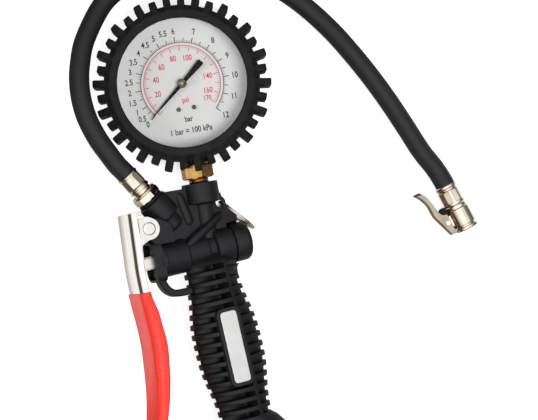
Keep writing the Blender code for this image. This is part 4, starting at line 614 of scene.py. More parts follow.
def dial_words(name, ink_look, words):
    """Words (text, x, y, height) in the built-in typeface, narrowed, joined into one flat mesh."""
    bm = bmesh.new()
    for text, x, y, height in words:
        curve = bpy.data.curves.new(name, "FONT")
        curve.body, curve.align_x, curve.align_y, curve.size = text, "CENTER", "CENTER", height / 0.72
        curve.resolution_u, curve.offset = 3, 0.00007
        holder = bpy.data.objects.new(name, curve)
        words_mesh = bpy.data.meshes.new_from_object(holder)
        tall = [v.co.y for v in words_mesh.vertices]
        middle = (min(tall) + max(tall)) / 2
        words_mesh.transform(Matrix.Translation((x, y, PRINT_Z)) @ Matrix.Diagonal((0.80, 1, 1, 1))
                             @ Matrix.Translation((0, -middle, 0)))
        bm.from_mesh(words_mesh)
        bpy.data.objects.remove(holder)
        bpy.data.curves.remove(curve)
        bpy.data.meshes.remove(words_mesh)
    mesh = bpy.data.meshes.new(name)
    bm.to_mesh(mesh)
    bm.free()
    mesh.materials.append(ink_look)
    piece = bpy.data.objects.new(name, mesh)
    bpy.context.scene.collection.objects.link(piece)
    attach(piece, HOME)


def dial_print(look):
    """Bar scale in black outside, psi scale in red inside, and the units."""
    bars = np.round(np.arange(0, 12.01, 0.1), 1)
    whole, half = np.isclose(bars % 1, 0), np.isclose(bars % 0.5, 0) | np.isclose(bars % 0.5, 0.5)
    dial_lines("bar_scale", look["black_ink"], bar_angle(bars), BAR_LINE_R,
               np.where(whole, 0.0268, np.where(half, 0.0260, 0.0248)),
               np.where(whole, 0.00046, np.where(half, 0.00038, 0.00020)),
               (bar_angle(0), bar_angle(12), BAR_LINE_R, 0.00034))
    psi = np.arange(0, 171, 2)
    tens = psi % 10 == 0
    dial_lines("psi_scale", look["red_ink"], psi_angle(psi), np.where(tens, 0.0188, 0.0203), PSI_LINE_R,
               np.where(tens, 0.00040, 0.00024), (psi_angle(0), psi_angle(170), PSI_LINE_R, 0.00034))

    def ringed(marks, angles, radius, size):
        """Numbers set round the dial at a radius."""
        a = np.radians(angles)
        return [(f"{mark:g}", radius * math.cos(t), radius * math.sin(t), size) for mark, t in zip(marks, a)]

    bar_marks = [*np.arange(0, 6, 0.5), *range(6, 13)]
    black = ringed(bar_marks, bar_angle(bar_marks), BAR_NUMBER_R, 0.0034)
    black += [("bar", 0.0003, -0.0202, 0.0032), ("1 bar = 100 kPa", 0.0006, -0.0268, 0.0034)]
    dial_words("bar_numbers", look["black_ink"], black)
    psi_marks = [20, 40, 60, 80, 100, 140, 160]
    red = ringed(psi_marks, psi_angle(psi_marks), PSI_NUMBER_R, 0.0033)
    red += ringed([170], psi_angle([170]), PSI_NUMBER_R + 0.0013, 0.0028)
    dial_words("psi_numbers", look["red_ink"], red + [("psi", 0.0003, -0.0098, 0.0032)])


def gauge_pointer(look):
    """Rounded hub, turned, over the pointer, which stays as the frame has it."""
    low, high = (corner[2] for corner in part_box("pointer_hub"))
    hub = [(0, low), (0.0026, low), (0.0026, high - 0.0005), (0.0021, high), (0.0013, high),
           (0.0012, high - 0.0003), (0, high - 0.0003)]
    skin("hub", turned(hub, 0.0002), "pointer_spindle", look["hub"], replaces=["pointer_hub"])


def gauge_stem(look):
    """Brass hexagon with coned corners, over a thread whose radius is a triangle wave of its pitch."""
    brass, low = look["brass"], HEX_TOP + HEX_LENGTH
    skin("stem_hexagon", nut(HEX_R, HEX_TOP, low, math.radians(15)), HOME, brass, STEM, ["gauge_socket"])
    h = np.linspace(low - 0.0004, BOSS_TOP + 0.0030, 61)
    wave = 2 * np.abs((h / THREAD_PITCH) % 1 - 0.5)
    thread = np.stack([THREAD_R - 0.0002 + 0.0007 * wave, h], -1)
    profile = np.vstack([(0, h[0]), thread, (0, h[-1])])
    skin("stem_thread", turned(profile, 0, steps=64), HOME, brass, STEM)
    throat = [(NECK_R, CASE_R + 0.0012), (0.0084, CASE_R + 0.0012), (0.0078, HEX_TOP - FIT),
              (NECK_R, HEX_TOP - FIT)]
    skin("boot_throat", turned(throat, 0.0003, True), HOME, look["rubber"], STEM, loop=True)
    neck = [(0, CASE_R - 0.0030), (NECK_R, CASE_R - 0.0030), (NECK_R, HEX_TOP + 0.0008),
            (0, HEX_TOP + 0.0008)]
    skin("stem_neck", turned(neck), HOME, brass, STEM)


# --- Body -----------------------------------------------------------------------------------------------
def handle(look, settings):
    """Ellipse sections down the grip, cut in by slots that deepen with the sine of the angle from its sides.

    The spine down the front stays whole. Below the slots the section runs out into the flared foot.
    """
    # Slots: lines across each one, and how deep each line lies
    bump = np.array([-1.85, -1.60, -1.45, -1.36, -1.25, 0, 1.25, 1.36, 1.45, 1.60, 1.85, 2.85]) * 0.001
    sunk = np.array([0, 0.02, 0.10, 0.92, 1, 1, 1, 0.92, 0.10, 0.02, 0, 0])
    centre = FIN_START - FIN_SLOT / 2 - np.arange(FIN_COUNT) * FIN_PITCH
    fin_y = (centre[:, None] - bump).ravel()
    fin_cut = np.tile(sunk, FIN_COUNT)
    keep = fin_y > FOOT_Y
    # Stations: the rounded top, the slots, and the foot
    top_y = np.array([-0.0020, -0.0040, -0.0056, -0.0066])
    foot = np.linspace(0, 1, 34)[1:]
    y = np.concatenate([top_y, fin_y[keep], FOOT_Y - foot * FOOT_L])
    cut = np.concatenate([np.zeros(4), fin_cut[keep], np.zeros(len(foot))])
    swell = np.exp(-np.abs((y - SWELL_Y) / SWELL_REACH) ** 3)
    half_w, half_t = WAIST_HALF_W + SWELL_W * swell, WAIST_HALF_T + SWELL_T * swell
    middle = HANDLE_X + HANDLE_LEAN * (SWELL_Y - y)
    half_w[:4] -= (0.0035, 0.0020, 0.0010, 0.0003)
    half_t[:4] -= (0.0062, 0.0044, 0.0026, 0.0012)
    at_foot = y <= FOOT_Y
    # Foot: its heel runs straight on, and its toe reaches out to the rear
    swell_foot = math.exp(-abs((FOOT_Y - SWELL_Y) / SWELL_REACH) ** 3)
    foot_half_w = WAIST_HALF_W + SWELL_W * swell_foot
    heel = HANDLE_X + HANDLE_LEAN * (SWELL_Y - FOOT_Y) - foot_half_w
    rear = heel + 2 * foot_half_w
    knots = [0, 0.08, 0.20, 0.33, 0.46, 0.58, 0.70, 0.80, 0.90, 0.965, 1.0]
    reach = np.interp(foot, knots, [0, 0.12, 0.22, 0.32, 0.46, 0.64, 0.83, 0.94, 1.0, 0.985, 0.93])
    toe = rear + (FOOT_REACH - rear) * reach
    blend = np.interp(foot, knots, [0, 0, 0.3, 0.5, 0.7, 0.9, 1, 1, 1, 1, 1])
    shrink = np.interp(foot, [0.955, 0.985, 1.0], [0, 0.0004, 0.0015])
    middle[at_foot], half_w[at_foot] = (toe + heel) / 2, (toe - heel) / 2 - shrink
    half_t[at_foot] = (WAIST_HALF_T + SWELL_T * swell_foot) * (1 - blend) + FOOT_HALF_T * blend - shrink
    # Angles round the section: from one side over the spine's two flanks to the other side, and back below
    wide = settings.spine_width / 2
    flanks = (wide + 0.0004, wide, -wide, -wide - 0.0004)
    marks = [np.arccos(np.clip((SPINE_OUT + d) / half_w, -1, 1)) for d in flanks]
    stops = [np.zeros_like(y), *marks, np.full_like(y, np.pi)]
    spans = [16, 2, 4, 2, 22]
    front = np.concatenate([np.linspace(a, b, n, endpoint=False, axis=1)
                            for a, b, n in zip(stops, stops[1:], spans)], 1)
    open_front = np.repeat([1.0, 1.0, 0.0, 0.0, 1.0], spans)
    open_front[[17, 22]] = 0.5
    angle = np.concatenate([front, np.full((len(y), 1), np.pi), 2 * np.pi - front[:, :0:-1]], 1)
    cuts = np.concatenate([open_front, [1.0], open_front[:0:-1]])
    c, s = np.cos(angle), np.sin(angle)
    depth = cut[:, None] * cuts[None] * (0.0012 + settings.fin_depth * np.abs(s))
    x = middle[:, None] + (half_w[:, None] - depth) * c
    z = (half_t[:, None] - depth) * s
    grid = np.stack([x, np.broadcast_to(y[:, None], x.shape), z], -1)
    skin("handle", grid, HOME, look["nylon"], GRIP, ["body_moulding"], sharp=50)


def housing(look):
    """Valve barrel with its waist, groove and rear ring, and the hood with its pocket."""
    barrel = [(0, HOOD_END - 0.0010), (BARREL_R, HOOD_END - 0.0010), (BARREL_R, HOOD_END + 0.0020),
              (BARREL_R - 0.0004, HOOD_END + 0.0024), (BARREL_R - 0.0004, BARREL_END - 0.0004),
              (WAIST_R, BARREL_END + 0.0004), (WAIST_R, -0.0002), (WAIST_R - 0.0012, 0.0004),
              (WAIST_R - 0.0012, 0.0040), (REAR_R, 0.0050), (REAR_R, REAR_END), (0, REAR_END)]
    skin("valve_barrel", turned(barrel, 0.0005), HOME, look["nylon"], VALVE)
    block = rounded([(HOOD_HALF_W, HOOD_HALF_H), (-HOOD_HALF_W, HOOD_HALF_H), (-HOOD_HALF_W, -HOOD_HALF_H),
                     (HOOD_HALF_W, -HOOD_HALF_H)], 0.0052, steps=8)
    wall = 0.0016
    pocket = [(0, HOOD_END), (0, HOOD_X), (-wall, HOOD_X), (-wall - 0.0001, HOOD_X + 0.0028)]
    skin("valve_hood", carried(block, pocket, 0.0005), HOME, look["nylon"], VALVE)
    lug = arc(PIN_X, PIN_Y, EAR_R - 0.0008, 90, 260)
    lug += [(-0.0312, 0.0093), (-0.0196, 0.0088), (-0.0190, 0.0128), (-0.0202, 0.0196), (-0.0270, 0.0240)]
    skin("lever_lug", slab(lug, -0.0094, 0.0094, 0.0012), HOME, look["nylon"], GRIP)


def boss_and_port(look):
    """Collar and neck that take the gauge, the hose port, and the web and ribs between them."""
    collar = [(0, BOSS_TOP), (0.0104, BOSS_TOP), (0.0104, BOSS_TOP + 0.0115), (0.0056, BOSS_TOP + 0.0125),
              (0.0056, BOSS_TOP + 0.0322), (0, BOSS_TOP + 0.0322)]
    skin("gauge_collar", turned(collar, 0.0006), HOME, look["nylon"], STEM)
    port = [(0, -0.0210), (0.0046, -0.0210), (0.0062, -0.0192), (0.0062, -0.0136), (0.0086, -0.0126),
            (0.0090, -0.0112), (0.0090, -0.0010), (0.0082, 0), (0, 0)]
    skin("hose_port", turned(port, 0.0007), HOME, look["nylon"], PORT)
    web = [(-0.0170, 0.0372), (0.0000, 0.0362), (0.0030, 0.0080), (-0.0180, 0.0080), (-0.0240, 0.0230)]
    skin("web", slab(web, -0.0030, 0.0030, 0.0020, 0.0008), HOME, look["nylon"], GRIP)
    ridges = {"rib": ([(-0.0094, 0.0360, 0.0006), (-0.0085, 0.0290, 0.0009),
                       (-0.0073, 0.0220, 0.0012), (-0.0066, 0.0150, 0.0014)], 0.0034),
              "brace": ([(-0.0130, 0.0042, 0.0060), (-0.0040, 0.0092, 0.0060), (0.0040, 0.0133, 0.0050),
                         (0.0136, 0.0186, 0.0022)], 0.0026)}
    for name, (path, radius) in ridges.items():
        for end, side in (("front", 1), ("back", -1)):
            run = flowing(np.array(path) * (1, 1, side), 30)
            taper = np.maximum(0.05, 1 - np.abs(np.linspace(-1, 1, 30)) ** 6) ** 0.5
            skin(f"{end}_{name}", piped(run, radius * taper), HOME, look["nylon"], GRIP)


def loop_and_eyelet(look):
    """Bar of the loop carried along its bend, the fillet under the cap, and the eyelet with its gusset."""
    path = flowing([(-0.0305, -0.0060), (-0.0302, -0.0120), (-0.0283, -0.0167), (-0.0250, -0.0196),
                    (-0.0205, -0.0204), (-0.0150, -0.0206)], 40)
    bar = rounded([(0.0020, 0.0045), (-0.0020, 0.0045), (-0.0020, -0.0045), (0.0020, -0.0045)], 0.0012)
    skin("loop", swept(path, bar), HOME, look["nylon"], GRIP)
    over_cap = CAP_R + 2 * FIT
    rear = REAR_END - 0.0004
    bottom, top = EYE_Z - EYE_T / 2, EYE_Z + EYE_T / 2
    under = [(0.0070, EYE_Y), *arc(EYE_X, EYE_Y, EYE_R, 180, 360), (0.0171, EYE_Y), (0.0176, 0.0230),
             (0.0210, 0.0190), (0.0222, 0.0155), (0.0222, over_cap), (rear, over_cap), (rear, 0.0060),
             (0.0060, 0.0060)]
    over = [(0.0070, 0.0300), (0.0155, 0.0300), (0.0160, 0.0270), (0.0171, EYE_Y),
            *arc(EYE_X, EYE_Y, EYE_R, 0, 180), (0.0070, EYE_Y)]
    for name, outline in (("gusset", under), ("eyelet_top", over)):
        plate = slab(outline, bottom - 0.0012, top - 0.0005, 0.0003, 0.0002)
        skin(name, plate, HOME, look["nylon"], GRIP)
    fillet = [(0.0060, -0.0070), (rear, -0.0070), (rear, -over_cap), (0.0168, -over_cap),
              (0.0155, -0.0128), (0.0148, -0.0142), (0.0145, -0.0175), (0.0060, -0.0175)]
    skin("fillet", slab(fillet, -0.0045, 0.0045, 0.0004, 0.0002), HOME, look["nylon"], GRIP)
    eye = [(EYE_R, bottom), (EYE_R + 0.0014, bottom), (EYE_R + 0.0014, top), (EYE_R, top)]
    place = axes(point(GRIP, EYE_X, EYE_Y, 0), ALONG, FRONT)
    skin("eyelet", turned(eye, 0.0004, True, 40), HOME, look["nylon"], place, loop=True)


def plate_and_frame(look):
    """Raised frame on the handle with the bare foil plate sunk in it."""
    def outline(grow):
        """The plate's rounded oblong, grown all round."""
        w, h = PLATE_HALF_W + grow, PLATE_HALF_L + grow
        corners = [(PLATE_X + w, PLATE_Y + h), (PLATE_X - w, PLATE_Y + h), (PLATE_X - w, PLATE_Y - h),
                   (PLATE_X + w, PLATE_Y - h)]
        return rounded(corners, 0.0022 + grow, steps=8)

    seat = PLATE_TOP - 0.0007
    rim = [(0, PLATE_TOP - 0.0060), (0, PLATE_TOP - 0.0003), (-0.0019, PLATE_TOP - 0.0002), (-0.0020, seat)]
    skin("plate_frame", carried(outline(0.0021), rim, 0.0002), HOME, look["nylon"], GRIP)
    foil = [(-0.0004, seat), (0, seat), (0, PLATE_TOP), (-0.0006, PLATE_TOP)]
    skin("foil_plate", carried(outline(0), foil, 0.0002), HOME, look["foil"], GRIP, ["name_plate"])


def rear_cap(look):
    """Screwed cap behind the valve, its rim rolled over, with a shallow dish in its end."""
    cap = [(0, REAR_END - 0.0040), (0.0083, REAR_END - 0.0040), (0.0083, REAR_END + FIT),
           (CAP_R, REAR_END + FIT),
           (CAP_R, CAP_END - 0.0025), (CAP_R - 0.0010, CAP_END - 0.0007), (CAP_R - 0.0027, CAP_END),
           (CAP_R - 0.0042, CAP_END), (CAP_R - 0.0047, CAP_END - 0.0006), (0, CAP_END - 0.0006)]
    skin("rear_cap", turned(cap, 0.0007), HOME, look["nylon"], VALVE, ["valve_end_cap"])


def plunger(look):
    """Square button on its stem, with a shallow dome, a part of a sphere, for the lever to roll on."""
    r = np.linspace(0, PLUNGER_R, 9)
    face = PLUNGER_FACE + PLUNGER_DOME_R - np.sqrt(PLUNGER_DOME_R ** 2 - r ** 2)
    profile = [*zip(r, face), (PLUNGER_R, -0.0325), (0.0020, -0.0325), (0.0020, -0.0128), (0, -0.0128)]
    button = flatted(profile, 4, math.pi / 4, 0.0002, PLUNGER_FLAT)
    # The button's finish is partly painted light: nickel made near white so that it reads lit in the shade
    # under the lever
    skin("plunger_button", button, "valve_train", look["satin"], VALVE, ["plunger"])


def hanging_ring(look):
    """Split ring: a wire wound twice round, its two turns side by side."""
    lean = np.array([-math.sin(RING_TILT), 0, math.cos(RING_TILT)])
    out = np.array([math.cos(RING_ANGLE), math.sin(RING_ANGLE), 0])
    out = out - lean * (out @ lean)
    out /= np.linalg.norm(out)
    square = np.cross(out, lean)
    start = np.array([EYE_X, EYE_Y, EYE_Z])
    turn = np.linspace(0, 4 * np.pi, 145)[:, None]
    gap = (turn / (2 * np.pi) - 1) * (RING_WIRE_R + 0.00004)
    path = start + out * RING_R * (1 - np.cos(turn)) + lean * RING_R * np.sin(turn) + square * gap
    wire = piped(path @ GRIP[:3, :3].T + GRIP[:3, 3], RING_WIRE_R, 12, GRIP[:3, :3] @ square)
    skin("split_ring", wire, "ring", look["nickel"], replaces=["hanging_ring"])


def inlet(look):
    """Brass bush in the butt, and the nickel plug with its hexagon and coupling groove."""
    top, low = -FOOT_END - 0.0110, -FOOT_END + 0.0004
    bush = [(0.0061, top), (0.0085, top), (0.0085, low), (0.0061, low)]
    skin("bush", turned(bush, 0.0003, True), HOME, look["brass"], INLET, ["inlet_bush"], loop=True)
    face = low + FIT
    far = face + 0.0060
    skin("plug_hexagon", nut(0.0081, face, far, 0), HOME, look["nickel"], INLET, ["inlet_plug"])
    plug = [(0.0022, far - 0.0010), (0.0052, far - 0.0010), (0.0052, far + 0.0060), (0.0062, far + 0.0080),
            (0.0062, far + 0.0100), (0.0040, far + 0.0118), (0.0040, far + 0.0160), (0.0052, far + 0.0170),
            (0.0052, far + 0.0210), (0.0042, far + 0.0220), (0.0022, far + 0.0220)]
    skin("air_plug", turned(plug, 0.0004, True), HOME, look["nickel"], INLET, loop=True)


# --- Trigger --------------------------------------------------------------------------------------------
def lever(look, settings):
    """Chromed channel bent from sheet, with an ear each side of the pin and a tab over its top."""
    front, top = LEVER_BACK[0]
    grid = channel(np.linspace(top, LEVER_END, 90), LEVER_BACK, LEVER_EDGE, LEVER_HALF_W, LEVER_T,
                   settings.lever_bend, 0.0012, tip=-0.070)
    skin("lever_channel", grid, "trigger", look["chrome"], GRIP, ["lever"])
    back, ear_top = front + settings.lever_bend, PIN_Y + EAR_R + 0.0010
    ear = arc(PIN_X, PIN_Y, EAR_R + 0.0003, -100, 62, 24)
    ear += [(PIN_X + 0.0006, ear_top), (back, ear_top), (back - 0.0014, 0.0080), (-0.0425, 0.0020),
            (-0.0412, 0.0015), (-0.0400, 0.0110)]
    for side, name in ((1, "near_ear"), (-1, "far_ear")):
        low, high = sorted((side * (LEVER_HALF_W - LEVER_T), side * (LEVER_HALF_W + 0.00004)))
        skin(name, slab(ear, low, high, 0.0010, 0.00005), "trigger", look["chrome"], GRIP)
    tab = [(-0.0437, 0.0240), (-0.0426, top), (-0.0352, top), (-0.0352, top - 0.0021),
           (front + LEVER_T, top - 0.0021), (-0.0437 + LEVER_T, 0.0240)]
    skin("lever_tab", slab(tab, -0.0085, 0.0085, 0.0010, 0.0003), "trigger", look["chrome"], GRIP)


def sleeve(look, settings):
    """PVC sleeve: box sections with round corners, turned in at the mouth and shut at the tip."""
    wall, gap, stations = settings.sleeve_thickness, 0.0002, 80
    y = np.concatenate([np.linspace(SLEEVE_FOLD, SLEEVE_MOUTH - 0.0002, 5), [SLEEVE_MOUTH] * 2,
                        np.linspace(SLEEVE_MOUTH - 0.0002, LEVER_END, stations),
                        LEVER_END - np.array([0.0006, 0.0012, 0.0016])])
    grow = gap + np.concatenate([np.zeros(5), [0.3 * wall, 0.7 * wall], np.full(stations, wall),
                                 [0.6 * wall, -0.0002, -0.0008]])
    x0, x1 = beside(LEVER_BACK, y), beside(LEVER_EDGE, y)
    middle, half_d, half_w = (x0 + x1) / 2, ((x1 - x0) / 2 + grow)[:, None], (LEVER_HALF_W + grow)[:, None]
    a = np.concatenate([np.linspace(q, q + 1, 7) * np.pi / 2 for q in range(4)])
    sign_x, sign_z = np.repeat([1, -1, -1, 1], 7), np.repeat([1, 1, -1, -1], 7)
    corner = np.where(sign_x > 0, 0.0010, np.where(sign_z > 0, 0.0040, 0.0014))
    r = np.minimum(corner, half_d * 0.9)
    x = middle[:, None] + sign_x * (half_d - r) + r * np.cos(a)
    z = sign_z * (half_w - r) + r * np.sin(a)
    grid = np.stack([x, np.broadcast_to(y[:, None], x.shape), z], -1)
    skin("red_sleeve", grid, "trigger", look["red"], GRIP, ["lever_grip"], sharp=60)


def rivet(look):
    """Pin through lug and ears with a low dome each end."""
    out = LEVER_HALF_W + FIT
    half = [(0.0037, out), (0.0037, out + 0.0004), (0.0030, out + 0.0008), (0, out + 0.0009)]
    profile = [(r, -h) for r, h in half[::-1]] + [(0.0026, -out), (0.0026, out)] + half
    skin("lever_rivet", turned(profile, 0.0002), HOME, look["chrome"], PIN, ["lever_pin"])


# --- Hose -----------------------------------------------------------------------------------------------
def crimped(low, length, crimp_count):
    """Ferrule whose middle is pressed into flats between a rolled edge and a belled mouth."""
    high = low + length
    profile = [(0.0039, low), (0.0062, low), (0.0062, low + 0.0014), (0.0058, low + 0.0020),
               (0.0058, low + 0.0026), (0.0062, low + 0.0032), (0.0062, high - 0.0014),
               (0.0064, high - 0.0004),
               (0.0061, high), (0.0039, high)]
    r, h = rounded(profile, 0.0003, True).T[:, :, None]
    a = np.linspace(0, 2 * np.pi, 144, endpoint=False)
    side = 2 * np.pi / crimp_count
    flats = 0.00585 / np.cos(a % side - side / 2)
    pressed = (h > low + 0.0034) & (h < high - 0.0016) & (r > 0.005)
    r = np.where(pressed, np.minimum(r, flats), r * np.ones_like(a))
    return np.stack([r * np.cos(a), r * np.sin(a), np.broadcast_to(h, r.shape)], -1)


def hose_fittings(look, settings):
    """Washer, flanged hexagon, collar and crimped ferrule at the port."""
    nickel = look["nickel"]
    seal = [(0.0046, FIT), (0.0078, FIT), (0.0078, 0.0015), (0.0046, 0.0015)]
    skin("port_washer", turned(seal, 0.0003, True), HOME, look["rubber"], PORT, ["hose_seal"], loop=True)
    skin("tail_hexagon", nut(0.0082, 0.0018, 0.0064, math.radians(38)), HOME, nickel, PORT, ["hose_tail"])
    flange = [(0, 0.0058), (0.0070, 0.0058), (0.0076, 0.0064), (0.0074, 0.0071), (0.0056, 0.0075),
              (0.0053, 0.0092), (0, 0.0092)]
    skin("tail_flange", turned(flange, 0.0003), HOME, nickel, PORT)
    ferrule = crimped(0.0091, 0.0116, settings.crimp_count)
    skin("port_ferrule", ferrule, HOME, nickel, PORT, ["hose_ferrule"], loop=True)


def hose_path():
    """From the port's ferrule straight out, round the gauge and over to the chuck on the table."""
    start, ahead = point(PORT, 0, 0, HOSE_OUT), point(PORT, 0, 0, HOSE_OUT + 0.6 * HOSE_R)
    end = np.array(CHUCK_AT) - HEADING * FIT
    return flowing([start, ahead, *HOSE_ROUTE, end - HEADING * 0.6 * HOSE_R, end], 260)


def hose(look, with_pieces):
    """Round rubber hose on one smooth route, with its run and turn kept for the drag marks."""
    path, steps = hose_path(), 32
    piece = skin("rubber_hose", piped(path, HOSE_R, steps), HOME, look["hose"], replaces=["hose"], sharp=60)
    run = np.concatenate([[0], np.cumsum(np.linalg.norm(np.diff(path, axis=0), axis=1))])
    a = np.linspace(0, 2 * np.pi, steps, endpoint=False)
    spread = np.stack([np.repeat(run * 4, steps), *np.tile([np.cos(a), np.sin(a)], len(path))], -1)
    layer = piece.data.attributes.new("run", "FLOAT_VECTOR", "POINT")
    layer.data.foreach_set("vector", spread.ravel())


# --- Chuck ----------------------------------------------------------------------------------------------
def chuck(look, settings):
    """Ferrule, body with its step and mouth ring, the lug for the clip, pin and seal; all are returned."""
    nickel, rubber = look["nickel"], look["rubber"]
    ferrule = crimped(0, 0.0120, settings.crimp_count)
    body = [(0.0039, 0.0123), (0.0059, 0.0123), (0.0062, 0.0127), (0.0062, 0.0144), (0.0067, 0.0149),
            (0.0067, 0.0246), (0.0059, 0.0249), (0.0059, 0.0257), (0.0068, 0.0260), (0.0068, 0.0274),
            (0.0063, CHUCK_MOUTH), (0.0044, CHUCK_MOUTH), (0.0044, 0.0189), (0.0020, 0.0189),
            (0.0020, 0.0166),
            (0.0039, 0.0166)]
    lug = [(0.0050, 0.0157), (0.0089, 0.0171), (0.0109, CHUCK_PIN_S), (0.0089, 0.0219), (0.0050, 0.0233)]
    # Black rubber block between the clip's arm and the body: a dark piece put where the chuck shows only shade
    shade_block = [(0.0060, 0.0106), (0.0062, 0.0152), (0.0104, 0.0152), (0.0108, 0.0128), (0.0098, 0.0106)]
    seal = [(0.0014, 0.0192), (0.0041, 0.0192), (0.0041, 0.0219), (0.0014, 0.0219)]
    out = 0.0047
    pin = [(0, -out - 0.0005), (0.0014, -out - 0.0004), (0.0015, -out), (0.0010, -out), (0.0010, out),
           (0.0015, out), (0.0014, out + 0.0004), (0, out + 0.0005)]
    pin_place = axes(point(CHUCK, CHUCK_PIN_OUT, 0, CHUCK_PIN_S), CLIP_SIDE, (0, 0, 1))
    return [
        skin("chuck_crimp", ferrule, HOME, nickel, CHUCK, ["chuck_ferrule"], loop=True),
        skin("chuck_shell", turned(body, 0.0002, True), HOME, nickel, CHUCK, ["chuck_body"], loop=True),
        skin("clip_lug", slab(lug, -0.0030, 0.0030, 0.0012, 0.0003), HOME, nickel, CHUCK_SIDE),
        skin("clip_shade_block", slab(shade_block, -0.0028, 0.0028, 0.0010, 0.0003), HOME, rubber, CHUCK_SIDE),
        skin("mouth_seal", turned(seal, 0.0004, True), HOME, rubber, CHUCK, ["chuck_seal"], loop=True),
        skin("clip_pin", turned(pin, 0.0001, steps=32), HOME, nickel, pin_place, ["chuck_clip_pin"])]


def clip(look):
    """Pressed clip: a bent channel like the lever's, rounded to an ellipse at the thumb end."""
    neck = -0.0012
    s = np.concatenate([np.linspace(0.0266, neck, 50),
                        neck - 0.0022 * np.sin(np.linspace(0.1, np.pi / 2, 12))])
    reach = np.clip((neck - s) / 0.0023, 0, 0.995)
    half_w = 0.0044 * np.sqrt(1 - (reach * 0.8) ** 2)
    nose = [(0.0046, 0.0249), (0.0046, 0.0263), (0.0080, 0.0271), (0.0102, 0.0255), (0.0091, 0.0241),
            (0.0077, 0.0249)]
    blade = channel(s, CLIP_BACK, CLIP_EDGE, half_w, 0.0009, 0.0015, 0.0015)
    return [skin("spring_clip", blade, "clip", look["spring"], CHUCK_SIDE, ["chuck_clip"]),
            skin("clip_nose", slab(nose, -0.0020, 0.0020, 0.0004, 0.0002), "clip", look["spring"],
                 CHUCK_SIDE)]


# --- Frame nodes and stage ------------------------------------------------------------------------------
KEPT = {"dial_plate": "dial", "pointer": "black", "dial_screw_left": "bronze", "dial_screw_right": "bronze",
        "gauge_bezel": "steel", "gauge_case": "steel", "pinion_arbor": "steel", "tube_link": "steel",
        "valve_spring": "steel", "movement_back_plate": "brass", "movement_front_plate": "brass",
        "sector_gear": "brass", "bourdon_tube": "brass", "valve_seat": "brass", "valve_poppet": "brass",
        "gland_nut": "bronze", "chuck_tail": "nickel", "end_cap_oring": "rubber"}


def kept_nodes(look):
    """Frame nodes that stay as they are get the finish of their metal, paint or rubber."""
    for name, finish_name in KEPT.items():
        materials = frame["nodes"][name].data.materials
        materials.clear()
        materials.append(look[finish_name])


def studio_world(settings):
    """Even light on the object; mirrors see warm walls that brighten to the zenith, the camera sees white."""
    world = bpy.data.worlds.new("studio")
    world.use_nodes = True
    tree = world.node_tree
    tree.nodes.clear()
    place = node(tree, "ShaderNodeTexCoord").outputs["Generated"]
    way = node(tree, "ShaderNodeSeparateXYZ", {"Vector": place})
    low, white, zenith = tuple(settings.left_wall), (1.0,) * 3, (1.5,) * 3
    left = graded(tree, way.outputs["Z"], [(0, low), (0.44, low), (0.58, (0.42, 0.33, 0.24)),
                                           (0.72, (0.82, 0.75, 0.66)), (0.86, white), (0.96, zenith)])
    low = tuple(settings.right_wall)
    right = graded(tree, way.outputs["Z"], [(0, low), (0.40, low), (0.52, (0.5,) * 3), (0.64, white),
                                            (0.86, white), (0.96, zenith)])
    across = node(tree, "ShaderNodeMapRange", {"Value": way.outputs["X"], "From Min": -0.5, "From Max": 0.2})
    walls = node(tree, "ShaderNodeMix", {0: across.outputs["Result"], 6: left, 7: right}, data_type="RGBA")
    rays = node(tree, "ShaderNodeLightPath")
    tent, plain, bright = (
        node(tree, "ShaderNodeBackground", {"Color": colour, "Strength": strength}).outputs[0]
        for colour,
        strength in ((walls.outputs[2], 1.0), ((1, 1, 1, 1), settings.fill_light), ((1, 1, 1, 1), 1.0)))
    mirror = node(tree, "ShaderNodeMath", {0: rays.outputs["Is Glossy Ray"],
                                           1: rays.outputs["Is Transmission Ray"]}, operation="MAXIMUM")
    lit = node(tree, "ShaderNodeMixShader", {0: mirror.outputs[0], 1: plain, 2: tent})
    seen = node(tree, "ShaderNodeMixShader", {0: rays.outputs["Is Camera Ray"], 1: lit.outputs[0], 2: bright})
    node(tree, "ShaderNodeOutputWorld", {"Surface": seen.outputs[0]})
    bpy.context.scene.world = world


